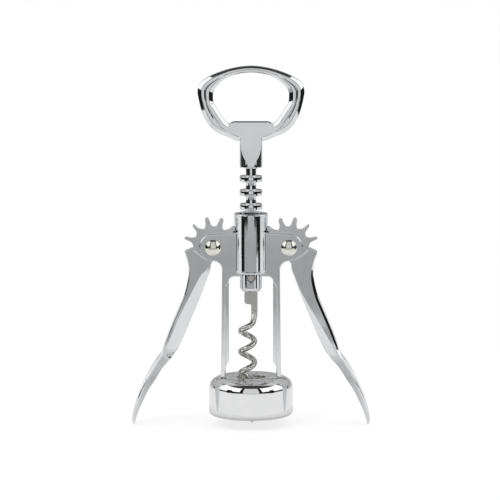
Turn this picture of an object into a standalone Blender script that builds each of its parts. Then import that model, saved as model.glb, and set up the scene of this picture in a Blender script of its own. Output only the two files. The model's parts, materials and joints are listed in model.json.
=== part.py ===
"""Winged corkscrew: two geared levers draw a ringed rack and its wire worm through a die-cast frame.

Units are metres and +Z is up. The origin lies on the worm's axis, level with the tips of the levers,
which hang just below the rim of the bell. The levers open along X, and Y runs from front to back.
"""
import bpy
import bmesh
from math import asin, cos, pi, radians, sin, sqrt
from mathutils import Matrix, Vector

# Fits shared by all pieces
FIT_GAP = 0.0003
CUT_OVERRUN = 0.002
WELD_DISTANCE = 0.00001

# Rack and gear: the ring pitch and the tooth count set the pitch circle, and so the pivots
RING_PITCH = 0.0070
GEAR_TOOTH_COUNT = 12
TEETH_ON_LEVER = 7
TOOTH_PHASE_SHARE = 0.41
RACK_RING_COUNT = 6
RACK_CORE_RADIUS = 0.00265
RACK_RING_RADIUS = 0.00565
RACK_RING_WIDTH = 0.0029
RACK_RING_ROUNDING = 0.0004
GEAR_THICKNESS = 0.0036
GEAR_ROOT_DEPTH = 0.0034
GEAR_TIP_HEIGHT = 0.0015
GEAR_HUB_RADIUS = 0.0066
GEAR_SECTOR_END = radians(258)
GEAR_HUB_START = radians(275)
GEAR_HEEL_SHARE = 0.7
TOOTH_ROOT_WIDTH = 0.0041
RACK_SPIGOT_DEPTH_IN_FERRULE = 0.0053
RACK_SPIGOT_DEPTH_IN_NECK = 0.0070

# Frame casting: barrel, twin wing plates and two legs
BARREL_ABOVE_PIVOT = 0.0170
BARREL_BELOW_PIVOT = 0.0131
BARREL_BORE_CLEARANCE = 0.00035
BARREL_WALL = 0.0024
BARREL_RIM_ROUNDING = 0.0005
BARREL_LIP_HEIGHT = 0.0012
BARREL_LIP_PROUD = 0.00025
PLATE_THICKNESS = 0.0021
PLATE_END_RADIUS = 0.0069
PLATE_TOP_RISE = 0.0007
GEAR_SLOT_CLEARANCE = 0.0005
ARCH_DROP = 0.0015
ARCH_CORNER_RADIUS = 0.0028
LEG_REACH_TOP = 0.0145
LEG_REACH_FOOT = 0.01515
LEG_FLANGE_WIDTH_TOP = 0.0018
LEG_FLANGE_WIDTH_FOOT = 0.0024
LEG_WEB_WIDTH = 0.0017
LEG_WEB_THICKNESS = 0.0030
LEG_WEB_INSET = 0.0001
LEG_WEB_STOP_ABOVE_BELL = 0.0085
LEG_WEB_RUNOUT = 0.0025
TENON_WIDTH = 0.0016
TENON_DEPTH = 0.0040

# Bell and the moulded ring inside it that centres the bottle's neck
BELL_RIM_HEIGHT = 0.0050
BELL_HEIGHT = 0.0190
BELL_RADIUS = 0.0211
BELL_WALL = 0.0036
BELL_TOP_THICKNESS = 0.0026
BELL_SHOULDER_RADIUS = 0.0055
BELL_RIM_ROUNDING = 0.0030
BELL_WORM_HOLE_RADIUS = 0.0070
BELL_HOLE_ROUNDING = 0.0006
GUIDE_WALL = 0.0020
GUIDE_RECESS = 0.0012
GUIDE_SEAT_THICKNESS = 0.0020
GUIDE_HOLE_RADIUS = 0.0080
GUIDE_MOUTH_CHAMFER = 0.0012

# Rivets that carry the levers
RIVET_SHANK_RADIUS = 0.0024
RIVET_HEAD_RADIUS = 0.00395
RIVET_HEAD_HEIGHT = 0.0016
RIVET_HEAD_EDGE = 0.0003

# Ferrule under the rack, its cross pin and the worm
FERRULE_RADIUS = 0.00555
FERRULE_BELOW_BARREL = 0.0097
FERRULE_BOTTOM_ROUNDING = 0.0023
FERRULE_TOP_CHAMFER = 0.0005
FERRULE_DIMPLE_RADIUS = 0.0027
FERRULE_DIMPLE_DEPTH = 0.0006
PIN_RADIUS = 0.0017
PIN_BELOW_BARREL = 0.0020
PIN_END_ROUNDING = 0.0004
TANG_WIDTH = 0.0066
TANG_ABOVE_PIN = 0.0023
TANG_BELOW_FERRULE = 0.0062
TANG_STEP_RADIUS = 0.0018
TANG_STRIP_LENGTH = 0.0050
TANG_STRIP_MARGIN = 0.0001
WORM_WIRE_RADIUS = 0.0015
WORM_COIL_RADIUS = 0.0034
WORM_PITCH = 0.01065
WORM_TIP_HEIGHT = 0.0004
WORM_TIP_RADIUS = 0.0002
WORM_LEAD_RISE = 0.0042
WORM_POINTS_PER_TURN = 22
WORM_TAPER_TURNS = 0.55
WORM_LEAD_TURNS = 0.17

# Handle: wedge neck, cap-lifter plate and ring
NECK_RADIUS = 0.0056
NECK_LENGTH = 0.0129
NECK_BOTTOM_ROUNDING = 0.0006
HANDLE_PLATE_THICKNESS = 0.0050
RING_HALF_WIDTH = 0.0266
RING_RISE = 0.0380
RING_BAND_THICKNESS = 0.0041
RING_RIDGE_THICKNESS = 0.0046
RING_EDGE_THICKNESS = 0.0022
LIFTER_TOP_RISE = 0.0101

# Lever arm below the gear
LEVER_DROP = 0.0900
LEVER_SPREAD = 0.0408
LEVER_PADDLE_WIDTH = 0.0188
LEVER_EDGE_CHAMFER = 0.0005
LEVER_PLATE_CLEARANCE = 0.00045
LEVER_SHOULDER_ANGLE = radians(39.5)
LEVER_SHOULDER_ARC_END = radians(30)

# Facet counts
BELL_STEPS = 44
ROUND_STEPS = 36
RACK_STEPS = 22
SMALL_STEPS = 20
RING_SAMPLES = 2
ARM_SAMPLES = 2
ARC_STEPS = 5
SMOOTH_ANGLE = radians(32)

# Derived places
PIVOT_HEIGHT = LEVER_DROP
TOOTH_ANGLE = 2 * pi / GEAR_TOOTH_COUNT
GEAR_PITCH_RADIUS = RING_PITCH / TOOTH_ANGLE
GEAR_TIP_RADIUS = GEAR_PITCH_RADIUS + GEAR_TIP_HEIGHT
GEAR_ROOT_RADIUS = GEAR_PITCH_RADIUS - GEAR_ROOT_DEPTH
PIVOT_OFFSET = GEAR_PITCH_RADIUS + RACK_RING_RADIUS
GEAR_GAP = GEAR_THICKNESS + 2 * FIT_GAP
FRAME_HALF_DEPTH = GEAR_GAP / 2 + PLATE_THICKNESS
BARREL_BORE_RADIUS = RACK_RING_RADIUS + BARREL_BORE_CLEARANCE
BARREL_RADIUS = BARREL_BORE_RADIUS + BARREL_WALL
BARREL_TOP = PIVOT_HEIGHT + BARREL_ABOVE_PIVOT
BARREL_BOTTOM = PIVOT_HEIGHT - BARREL_BELOW_PIVOT
BELL_TOP = BELL_RIM_HEIGHT + BELL_HEIGHT
BELL_CEILING = BELL_TOP - BELL_TOP_THICKNESS
FERRULE_BOTTOM = BARREL_BOTTOM - FERRULE_BELOW_BARREL
PIN_HEIGHT = BARREL_BOTTOM - PIN_BELOW_BARREL
TANG_TOP = PIN_HEIGHT + TANG_ABOVE_PIN
TANG_BOTTOM = FERRULE_BOTTOM - TANG_BELOW_FERRULE
STRIP_HALF_WIDTH = WORM_WIRE_RADIUS + TANG_STRIP_MARGIN
STRIP_CENTRE = TANG_WIDTH / 2 - STRIP_HALF_WIDTH
TANG_THICKNESS = 2 * STRIP_HALF_WIDTH


def ring_centre(index):
    """Height of a rack ring; ring 0 lies just above the tooth that points nearest to the rack."""
    return PIVOT_HEIGHT + (TOOTH_PHASE_SHARE + 0.5 + index) * RING_PITCH


TOP_RING = RACK_RING_COUNT - 2
FERRULE_TOP = ring_centre(-2) + RACK_RING_WIDTH / 2
NECK_BOTTOM = ring_centre(TOP_RING + 1) - RACK_RING_WIDTH / 2
NECK_TOP = NECK_BOTTOM + NECK_LENGTH

# Half widths up one gear tooth: share of the tooth height, share of half the root width
TOOTH_SHARES = (
    (0.0, 1.0), (0.12, 0.80), (0.30, 0.64), (0.55, 0.56), (0.82, 0.50), (0.95, 0.36), (1.0, 0.14),
)
THIN_TOOTH_SHARES = (
    (0.0, 1.0), (0.12, 0.70), (0.30, 0.48), (0.55, 0.38), (0.82, 0.30), (0.95, 0.24), (1.0, 0.10),
)
THIN_TEETH_FROM = 5

# Half depth of the wedge neck: share of its length from the bottom, share of its radius
NECK_WEDGE_SHARES = (
    (-0.1, 1.08), (0.02, 1.05), (0.13, 0.983), (0.23, 0.920), (0.34, 0.840), (0.46, 0.720),
    (0.58, 0.600), (0.70, 0.500), (0.82, 0.450), (1.0, 0.440), (1.3, 0.440),
)

# Handle ring from its top, round the left side, to the neck. Each row holds four points across the
# band: outer edge, outer bevel's end, inner bevel's end, inner edge. Each point is a share of the
# ring's half width to the left, and a share of its rise above the neck.
RING_SHARES = (
    (0.000, 1.000, 0.000, 0.973, 0.000, 0.943, 0.000, 0.914),
    (0.282, 0.980, 0.274, 0.953, 0.265, 0.922, 0.256, 0.894),
    (0.560, 0.927, 0.538, 0.897, 0.497, 0.862, 0.474, 0.834),
    (0.820, 0.848, 0.778, 0.812, 0.690, 0.760, 0.640, 0.735),
    (0.966, 0.766, 0.906, 0.727, 0.775, 0.692, 0.696, 0.668),
    (1.000, 0.668, 0.929, 0.640, 0.789, 0.614, 0.711, 0.600),
    (0.981, 0.560, 0.908, 0.556, 0.775, 0.524, 0.692, 0.503),
    (0.914, 0.384, 0.845, 0.412, 0.722, 0.447, 0.660, 0.470),
    (0.797, 0.229, 0.730, 0.262, 0.590, 0.312, 0.550, 0.343),
    (0.635, 0.124, 0.575, 0.172, 0.500, 0.222, 0.458, 0.264),
    (0.420, 0.061, 0.380, 0.108, 0.350, 0.160, 0.325, 0.205),
    (0.215, 0.010, 0.200, 0.066, 0.190, 0.130, 0.180, 0.190),
)

# Left half of the cap-lifter plate, from its top edge down to the neck: shares as for the ring
LIFTER_SHARES = (
    (0.323, 1.0), (0.372, 0.958), (0.421, 0.850), (0.455, 0.700), (0.485, 0.520), (0.361, 0.414),
    (0.237, 0.325), (0.205, 0.235), (0.205, 0.0), (0.205, -0.2),
)

# Lever arm from the shoulder to the tip: outer face out and down, inner face out and down (shares of
# the spread and the drop), half width of the outer face, of the inner face (shares of half the
# paddle width), and how far across the flat side runs before its bevel starts.
ARM_SHARES = (
    (0.346, 0.029, 0.000, -0.047, 0.500, 0.490, 0.92),
    (0.311, 0.080, 0.028, 0.111, 0.500, 0.480, 0.86),
    (0.298, 0.140, 0.065, 0.164, 0.500, 0.440, 0.63),
    (0.313, 0.196, 0.118, 0.231, 0.500, 0.385, 0.48),
    (0.356, 0.273, 0.180, 0.306, 0.500, 0.325, 0.33),
    (0.426, 0.350, 0.256, 0.388, 0.500, 0.275, 0.25),
    (0.522, 0.452, 0.341, 0.481, 0.500, 0.240, 0.22),
    (0.588, 0.532, 0.418, 0.558, 0.505, 0.225, 0.21),
    (0.634, 0.594, 0.512, 0.621, 0.590, 0.250, 0.21),
    (0.706, 0.643, 0.616, 0.674, 0.860, 0.400, 0.23),
    (0.799, 0.712, 0.708, 0.739, 0.980, 0.560, 0.28),
    (0.882, 0.788, 0.794, 0.797, 1.000, 0.660, 0.32),
    (0.941, 0.856, 0.863, 0.861, 0.950, 0.680, 0.36),
    (0.985, 0.920, 0.919, 0.921, 0.800, 0.580, 0.40),
    (1.000, 0.971, 0.953, 0.971, 0.500, 0.360, 0.40),
    (0.985, 1.000, 0.968, 1.000, 0.200, 0.140, 0.40),
)


def clear_scene():
    for old in list(bpy.data.objects):
        bpy.data.objects.remove(old, do_unlink=True)


def make_collection(name):
    collection = bpy.data.collections.new(name)
    bpy.context.scene.collection.children.link(collection)
    return collection


def make_material(name, colour, metallic, roughness):
    material = bpy.data.materials.new(name)
    material.use_nodes = True
    shader = material.node_tree.nodes["Principled BSDF"]
    shader.inputs["Base Color"].default_value = (*colour, 1.0)
    shader.inputs["Metallic"].default_value = metallic
    shader.inputs["Roughness"].default_value = roughness
    material.diffuse_color = (*colour, 1.0)
    return material


def mesh_object(name, mesh, collection):
    piece = bpy.data.objects.new(name, mesh)
    collection.objects.link(piece)
    return piece


def hide_as_tool(tool):
    tool.hide_render = True
    tool.display_type = "WIRE"
    return tool


def arc(centre, radius, start, end, steps=ARC_STEPS):
    """Points on an arc in the plane, from one angle to the other, both ends included."""
    points = []
    for i in range(steps + 1):
        angle = start + (end - start) * i / steps
        points.append((centre[0] + radius * cos(angle), centre[1] + radius * sin(angle)))
    return points


def turned(name, profile, collection, steps, closed=False):
    """A solid turned about Z from (radius, height) points that run down the outer side."""
    mesh = bpy.data.meshes.new(name)
    edges = [(i, i + 1) for i in range(len(profile) - 1)]
    if closed:
        edges.append((len(profile) - 1, 0))
    mesh.from_pydata([(radius, 0, height) for radius, height in profile], edges, [])
    piece = mesh_object(name, mesh, collection)
    screw = piece.modifiers.new("turn", "SCREW")
    screw.axis = "Z"
    screw.steps = steps
    screw.render_steps = steps
    screw.use_merge_vertices = True
    screw.merge_threshold = WELD_DISTANCE
    return piece


def flat_plate(name, outlines, half_thickness, collection, facing="front"):
    """Flat plates from closed outlines: (x, z) points extruded along Y, or (y, z) points along X."""
    curve = bpy.data.curves.new(name, "CURVE")
    curve.dimensions = "2D"
    curve.fill_mode = "BOTH"
    curve.extrude = half_thickness
    for outline in outlines:
        spline = curve.splines.new("POLY")
        spline.points.add(len(outline) - 1)
        for point, (across, up) in zip(spline.points, outline):
            point.co = (across, up, 0, 1)
        spline.use_cyclic_u = True
    turn = Matrix.Rotation(pi / 2, 4, "X")
    if facing == "side":
        turn = Matrix.Rotation(pi / 2, 4, "Z") @ turn
    return curve_to_mesh(name, curve, turn, collection)


def curve_to_mesh(name, curve, placing, collection):
    """Turns a filled curve into a closed mesh object with its caps welded on."""
    source = bpy.data.objects.new(name + "_curve", curve)
    bpy.context.scene.collection.objects.link(source)
    source.matrix_world = placing
    bpy.context.view_layer.update()
    evaluated = source.evaluated_get(bpy.context.evaluated_depsgraph_get())
    mesh = bpy.data.meshes.new_from_object(evaluated)
    mesh.transform(placing)
    weld = bmesh.new()
    weld.from_mesh(mesh)
    bmesh.ops.remove_doubles(weld, verts=weld.verts, dist=WELD_DISTANCE)
    bmesh.ops.recalc_face_normals(weld, faces=weld.faces)
    weld.to_mesh(mesh)
    weld.free()
    bpy.data.objects.remove(source, do_unlink=True)
    return mesh_object(name, mesh, collection)


def box(name, low, high, collection):
    mesh = bpy.data.meshes.new(name)
    cube = bmesh.new()
    size = [h - l for l, h in zip(low, high)]
    centre = [(h + l) / 2 for l, h in zip(low, high)]
    placing = Matrix.Translation(centre) @ Matrix.Diagonal((*size, 1))
    bmesh.ops.create_cube(cube, size=1, matrix=placing)
    cube.to_mesh(mesh)
    cube.free()
    return mesh_object(name, mesh, collection)


def cross_cylinder(name, radius, half_length, centre, steps, collection):
    """A cylinder along Y."""
    mesh = bpy.data.meshes.new(name)
    drum = bmesh.new()
    placing = Matrix.Translation(centre) @ Matrix.Rotation(pi / 2, 4, "X")
    bmesh.ops.create_cone(drum, cap_ends=True, segments=steps, radius1=radius, radius2=radius,
                          depth=2 * half_length, matrix=placing)
    drum.to_mesh(mesh)
    drum.free()
    return mesh_object(name, mesh, collection)


def combine(piece, tool, operation):
    modifier = piece.modifiers.new(tool.name, "BOOLEAN")
    modifier.operation = operation
    modifier.solver = "EXACT"
    modifier.object = hide_as_tool(tool)


def settle(piece):
    """Applies the modifiers and shades the result smooth up to the edges."""
    bpy.context.view_layer.update()
    evaluated = piece.evaluated_get(bpy.context.evaluated_depsgraph_get())
    mesh = bpy.data.meshes.new_from_object(evaluated)
    weld = bmesh.new()
    weld.from_mesh(mesh)
    bmesh.ops.remove_doubles(weld, verts=weld.verts, dist=WELD_DISTANCE)
    weld.to_mesh(mesh)
    weld.free()
    mesh.name = piece.name
    piece.modifiers.clear()
    piece.data = mesh
    mesh.shade_smooth()
    mesh.set_sharp_from_angle(angle=SMOOTH_ANGLE)
    return piece


def blend(t, before, start, end, after):
    """A cubic that runs from start to end with the slopes that its neighbours give it."""
    slope_in = (end - before) / 2
    slope_out = (after - start) / 2
    rest = end - start
    cubic = slope_in + slope_out - 2 * rest
    return start + t * (slope_in + t * (3 * rest - 2 * slope_in - slope_out + t * cubic))


def smooth_rows(rows, samples, closed=False):
    """Passes a smooth curve through rows of values, with samples steps between one row and the next."""
    count = len(rows)
    last = count if closed else count - 1
    result = []
    for i in range(last):
        before = rows[(i - 1) % count] if closed else rows[max(i - 1, 0)]
        start = rows[i]
        end = rows[(i + 1) % count]
        after = rows[(i + 2) % count] if closed else rows[min(i + 2, count - 1)]
        for step in range(samples):
            t = step / samples
            result.append(tuple(blend(t, *values) for values in zip(before, start, end, after)))
    if not closed:
        result.append(tuple(rows[-1]))
    return result


def loft(name, sections, collection, closed=False):
    """Skins a row of sections that have the same number of points; an open loft gets end caps."""
    mesh = bpy.data.meshes.new(name)
    skin = bmesh.new()
    rings = [[skin.verts.new(point) for point in section] for section in sections]
    pairs = list(zip(rings, rings[1:]))
    if closed:
        pairs.append((rings[-1], rings[0]))
    else:
        skin.faces.new(rings[0])
        skin.faces.new(rings[-1])
    for lower, upper in pairs:
        for i in range(len(lower)):
            j = (i + 1) % len(lower)
            skin.faces.new((lower[i], lower[j], upper[j], upper[i]))
    bmesh.ops.recalc_face_normals(skin, faces=skin.faces)
    skin.to_mesh(mesh)
    skin.free()
    return mesh_object(name, mesh, collection)


# Rack

def rack_profile():
    """Outer side of the rack from the spigot in the neck down to the spigot in the ferrule."""
    half = RACK_RING_WIDTH / 2
    rounding = RACK_RING_ROUNDING
    top = NECK_BOTTOM + RACK_SPIGOT_DEPTH_IN_NECK
    profile = [(0, top), (RACK_CORE_RADIUS, top)]
    for index in range(TOP_RING, -2, -1):
        centre = ring_centre(index)
        profile.append((RACK_CORE_RADIUS, centre + half))
        profile += arc((RACK_RING_RADIUS - rounding, centre + half - rounding), rounding, pi / 2, 0, 2)
        profile += arc((RACK_RING_RADIUS - rounding, centre - half + rounding), rounding, 0, -pi / 2, 2)
        profile.append((RACK_CORE_RADIUS, centre - half))
    spigot_end = FERRULE_TOP - RACK_SPIGOT_DEPTH_IN_FERRULE
    return profile + [(RACK_CORE_RADIUS, spigot_end), (0, spigot_end)]


def make_rack(parts):
    return settle(turned("rack", rack_profile(), parts, RACK_STEPS))


# Frame

def barrel_profile():
    """Outside of the barrel, from its top to its bottom; the bore is cut later."""
    rim = BARREL_RIM_ROUNDING
    lip = BARREL_RADIUS + BARREL_LIP_PROUD
    lip_top = BARREL_BOTTOM + BARREL_LIP_HEIGHT
    outside = [(0, BARREL_TOP)] + arc((BARREL_RADIUS - rim, BARREL_TOP - rim), rim, pi / 2, 0, 3)
    outside += [(BARREL_RADIUS, lip_top + BARREL_LIP_PROUD), (lip, lip_top)]
    outside += arc((lip - rim, BARREL_BOTTOM + rim), rim, 0, -pi / 2, 3)
    return outside + [(0, BARREL_BOTTOM)]


def wing_outline():
    """Left wing plate and its leg's flange, seen from the front: out from the barrel, down and back in."""
    top = PIVOT_HEIGHT + PLATE_END_RADIUS
    outline = [(-BARREL_BORE_RADIUS, top + PLATE_TOP_RISE)]
    outline += arc((-PIVOT_OFFSET, PIVOT_HEIGHT), PLATE_END_RADIUS, pi / 2, 3 * pi / 2, 18)
    fillet = PIVOT_OFFSET - LEG_REACH_TOP
    outline += arc((-PIVOT_OFFSET, PIVOT_HEIGHT - PLATE_END_RADIUS - fillet), fillet, pi / 2, 0, 8)[1:]
    outline.append((-LEG_REACH_FOOT, BELL_TOP + FIT_GAP))
    outline.append((-LEG_REACH_FOOT + LEG_FLANGE_WIDTH_FOOT, BELL_TOP + FIT_GAP))
    arch = BARREL_BOTTOM - ARCH_DROP
    corner_x = -LEG_REACH_TOP + LEG_FLANGE_WIDTH_TOP + LEG_WEB_WIDTH + ARCH_CORNER_RADIUS
    outline.append((-LEG_REACH_TOP + LEG_FLANGE_WIDTH_TOP, arch - ARCH_CORNER_RADIUS - LEG_WEB_RUNOUT))
    outline.append((corner_x - ARCH_CORNER_RADIUS, arch - ARCH_CORNER_RADIUS))
    return outline + arc((corner_x, arch - ARCH_CORNER_RADIUS), ARCH_CORNER_RADIUS, pi, pi / 2, 6)


def web_outline():
    """Recessed inner web of the left leg, from the arch down to where it runs out above the bell."""
    arch = BARREL_BOTTOM - ARCH_DROP - ARCH_CORNER_RADIUS
    foot = BELL_TOP + LEG_WEB_STOP_ABOVE_BELL
    flange_top = -LEG_REACH_TOP + LEG_FLANGE_WIDTH_TOP
    flange_foot = -LEG_REACH_FOOT + LEG_FLANGE_WIDTH_FOOT
    root = LEG_FLANGE_WIDTH_TOP / 2
    width = LEG_WEB_WIDTH - LEG_WEB_INSET
    return [(flange_top - root, arch + CUT_OVERRUN), (flange_foot - root, foot - 2 * LEG_WEB_RUNOUT),
            (flange_foot + width, foot), (flange_top + width, arch + CUT_OVERRUN)]


def tenon_centre():
    return LEG_REACH_FOOT - LEG_FLANGE_WIDTH_FOOT / 2


def mirrored(outline):
    return [(-x, z) for x, z in outline]


def make_frame(parts, tools):
    frame = turned("frame_body", barrel_profile(), parts, ROUND_STEPS)
    left_wing = wing_outline()
    wings = flat_plate("wing_blank", [left_wing + mirrored(reversed(left_wing))], FRAME_HALF_DEPTH, tools)
    combine(frame, wings, "UNION")
    webs = flat_plate("web_blank", [web_outline(), mirrored(web_outline())], LEG_WEB_THICKNESS / 2, tools)
    combine(frame, webs, "UNION")
    bore_profile = [(0, BARREL_TOP + CUT_OVERRUN), (BARREL_BORE_RADIUS, BARREL_TOP + CUT_OVERRUN),
                    (BARREL_BORE_RADIUS, BARREL_BOTTOM - ARCH_DROP - CUT_OVERRUN),
                    (0, BARREL_BOTTOM - ARCH_DROP - CUT_OVERRUN)]
    combine(frame, turned("barrel_bore", bore_profile, tools, ROUND_STEPS), "DIFFERENCE")
    for side, sign in (("left", -1), ("right", 1)):
        centre = sign * tenon_centre()
        low = (centre - TENON_WIDTH / 2, -TENON_DEPTH / 2, BELL_CEILING + FIT_GAP)
        high = (centre + TENON_WIDTH / 2, TENON_DEPTH / 2, BELL_TOP + CUT_OVERRUN)
        tenon = box(f"{side}_tenon_blank", low, high, tools)
        combine(frame, tenon, "UNION")
        pivot = (sign * PIVOT_OFFSET, 0, PIVOT_HEIGHT)
        slot_radius = GEAR_TIP_RADIUS + GEAR_SLOT_CLEARANCE
        slot = cross_cylinder(f"{side}_gear_slot", slot_radius, GEAR_GAP / 2, pivot, BELL_STEPS, tools)
        combine(frame, slot, "DIFFERENCE")
        hole_radius = RIVET_SHANK_RADIUS + FIT_GAP
        reach = FRAME_HALF_DEPTH + CUT_OVERRUN
        hole = cross_cylinder(f"{side}_rivet_hole", hole_radius, reach, pivot, SMALL_STEPS, tools)
        combine(frame, hole, "DIFFERENCE")
    return settle(frame)


# Levers

def tooth_points(direction, shares):
    """One tooth of the lever's gear, anticlockwise, about an axis that points in the given direction."""
    height = GEAR_TIP_RADIUS - GEAR_ROOT_RADIUS
    rows = [(GEAR_ROOT_RADIUS + height * up, TOOTH_ROOT_WIDTH / 2 * wide) for up, wide in shares]
    points = [(reach, -half) for reach, half in rows] + [(reach, half) for reach, half in reversed(rows)]
    c, s = cos(direction), sin(direction)
    return [(reach * c - across * s, reach * s + across * c) for reach, across in points]


def gear_outline():
    """Toothed sector about the pivot, with a plain hub where the arm leaves it. +X faces the rack."""
    outline = []
    for tooth in range(TEETH_ON_LEVER):
        direction = (TOOTH_PHASE_SHARE - 1 + tooth) * TOOTH_ANGLE
        shares = THIN_TOOTH_SHARES if tooth >= THIN_TEETH_FROM else TOOTH_SHARES
        outline += tooth_points(direction, shares)
        if tooth < TEETH_ON_LEVER - 1:
            outline.append((GEAR_ROOT_RADIUS * cos(direction + TOOTH_ANGLE / 2),
                            GEAR_ROOT_RADIUS * sin(direction + TOOTH_ANGLE / 2)))
    start = (TOOTH_PHASE_SHARE - 1) * TOOTH_ANGLE
    end = start + (TEETH_ON_LEVER - 1) * TOOTH_ANGLE
    outline += arc((0, 0), GEAR_ROOT_RADIUS, end + TOOTH_ANGLE / 2, GEAR_SECTOR_END, 6)
    outline += arc((0, 0), GEAR_HUB_RADIUS, GEAR_HUB_START, start + 2 * pi - TOOTH_ANGLE, 4)
    heel = start - GEAR_HEEL_SHARE * TOOTH_ANGLE
    outline += arc((0, 0), GEAR_ROOT_RADIUS, heel, start - TOOTH_ANGLE / 2, 1)
    return outline


def arm_section(row):
    """Ten-sided section of the left arm: flat outer face, flat sides, bevels that narrow the inner face."""
    out_x, out_z, in_x, in_z, outer_share, inner_share, knee = row
    outer = Vector((-out_x * LEVER_SPREAD, 0, -out_z * LEVER_DROP))
    inner = Vector((-in_x * LEVER_SPREAD, 0, -in_z * LEVER_DROP))
    half_outer = outer_share * LEVER_PADDLE_WIDTH / 2
    half_inner = inner_share * LEVER_PADDLE_WIDTH / 2
    across = (inner - outer).length
    edge = min(LEVER_EDGE_CHAMFER, across / 4, half_inner / 2)
    side = [(0, half_outer - edge), (edge / across, half_outer), (knee, half_outer),
            (1 - edge / across, half_inner), (1, half_inner - edge)]
    loop = [(place, -half) for place, half in side] + [(place, half) for place, half in reversed(side)]
    return [outer.lerp(inner, place) + Vector((0, half, 0)) for place, half in loop]


def shoulder_cutter_outline():
    """Room that the arm's thick part leaves for the frame's plates when the lever is raised."""
    reach = PLATE_END_RADIUS + LEVER_PLATE_CLEARANCE
    normal = 3 * pi / 2 - LEVER_SHOULDER_ANGLE
    foot = (reach * cos(normal), reach * sin(normal))
    along = (cos(normal - pi / 2), sin(normal - pi / 2))
    far = 2 * GEAR_TIP_RADIUS
    outline = [(foot[0] + far * along[0], foot[1] + far * along[1])]
    outline += arc((0, 0), reach, normal, 2 * pi + LEVER_SHOULDER_ARC_END, 10)
    return outline + [(far, far), (-far, far)]


def make_lever_mesh(tools):
    rows = smooth_rows(ARM_SHARES, ARM_SAMPLES)
    lever = loft("lever_blank", [arm_section(row) for row in rows], tools)
    clearance = flat_plate("shoulder_cutter", [shoulder_cutter_outline()], LEVER_PADDLE_WIDTH, tools)
    combine(lever, clearance, "DIFFERENCE")
    gear = flat_plate("gear_blank", [gear_outline()], GEAR_THICKNESS / 2, tools)
    combine(lever, gear, "UNION")
    bore_radius = RIVET_SHANK_RADIUS + FIT_GAP
    bore = cross_cylinder("lever_bore", bore_radius, GEAR_THICKNESS, (0, 0, 0), SMALL_STEPS, tools)
    combine(lever, bore, "DIFFERENCE")
    return hide_as_tool(settle(lever)).data


def make_levers(parts, tools):
    mesh = make_lever_mesh(tools)
    levers = []
    for name, sign in (("left_lever", -1), ("right_lever", 1)):
        lever = mesh_object(name, mesh.copy(), parts)
        lever.location = (sign * PIVOT_OFFSET, 0, PIVOT_HEIGHT)
        lever.rotation_euler = (0, 0, pi if sign > 0 else 0)
        levers.append(lever)
    return levers


# Rivets

def rivet_profile():
    """Turned about its own length: domed head, shank and domed head."""
    seat = FRAME_HALF_DEPTH + FIT_GAP
    crown = RIVET_HEAD_HEIGHT - RIVET_HEAD_EDGE
    dome_radius = (RIVET_HEAD_RADIUS ** 2 + crown ** 2) / (2 * crown)
    half_angle = asin(RIVET_HEAD_RADIUS / dome_radius)
    centre = seat + RIVET_HEAD_HEIGHT - dome_radius
    upper = arc((0, centre), dome_radius, pi / 2, pi / 2 - half_angle, 4)
    upper[0] = (0, seat + RIVET_HEAD_HEIGHT)
    upper += [(RIVET_HEAD_RADIUS, seat), (RIVET_SHANK_RADIUS, seat)]
    return upper + [(radius, -height) for radius, height in reversed(upper)]


def make_rivets(parts):
    rivets = []
    for name, sign in (("left_pivot_rivet", -1), ("right_pivot_rivet", 1)):
        rivet = settle(turned(name, rivet_profile(), parts, SMALL_STEPS))
        rivet.location = (sign * PIVOT_OFFSET, 0, PIVOT_HEIGHT)
        rivet.rotation_euler = (pi / 2, 0, 0)
        rivets.append(rivet)
    return rivets


# Bell and guide ring

def bell_profile():
    """Closed profile: over the shoulder, down the wall, round the rim, up the inside, back to the hole."""
    shoulder = BELL_SHOULDER_RADIUS
    rim = BELL_RIM_ROUNDING
    inside = BELL_RADIUS - BELL_WALL
    edge = BELL_HOLE_ROUNDING
    profile = arc((BELL_WORM_HOLE_RADIUS + edge, BELL_TOP - edge), edge, pi, pi / 2, 3)
    profile += arc((BELL_RADIUS - shoulder, BELL_TOP - shoulder), shoulder, pi / 2, 0, 9)
    profile += arc((BELL_RADIUS - rim, BELL_RIM_HEIGHT + rim), rim, 0, -pi / 2, 6)
    profile += [(inside, BELL_RIM_HEIGHT), (inside, BELL_CEILING)]
    return profile + [(BELL_WORM_HOLE_RADIUS, BELL_CEILING)]


def make_bell(parts, tools):
    bell = turned("bell", bell_profile(), parts, BELL_STEPS, closed=True)
    half_width = TENON_WIDTH / 2 + FIT_GAP
    half_depth = TENON_DEPTH / 2 + FIT_GAP
    for side, sign in (("left", -1), ("right", 1)):
        centre = sign * tenon_centre()
        hole = box(f"{side}_tenon_hole", (centre - half_width, -half_depth, BELL_CEILING - CUT_OVERRUN),
                   (centre + half_width, half_depth, BELL_TOP + CUT_OVERRUN), tools)
        combine(bell, hole, "DIFFERENCE")
    return settle(bell)


def guide_profile():
    """Closed profile of the guide ring: seat flange at the top, wall round the bottle's neck."""
    outer = BELL_RADIUS - BELL_WALL - FIT_GAP
    inner = outer - GUIDE_WALL
    top = BELL_CEILING - FIT_GAP
    seat = top - GUIDE_SEAT_THICKNESS
    bottom = BELL_RIM_HEIGHT + GUIDE_RECESS
    return [(GUIDE_HOLE_RADIUS, top), (outer, top), (outer, bottom), (inner + GUIDE_MOUTH_CHAMFER, bottom),
            (inner, bottom + GUIDE_MOUTH_CHAMFER), (inner, seat), (GUIDE_HOLE_RADIUS, seat)]


def make_guide_ring(parts):
    return settle(turned("bottle_guide_ring", guide_profile(), parts, ROUND_STEPS, closed=True))


# Ferrule, pin and worm

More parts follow.
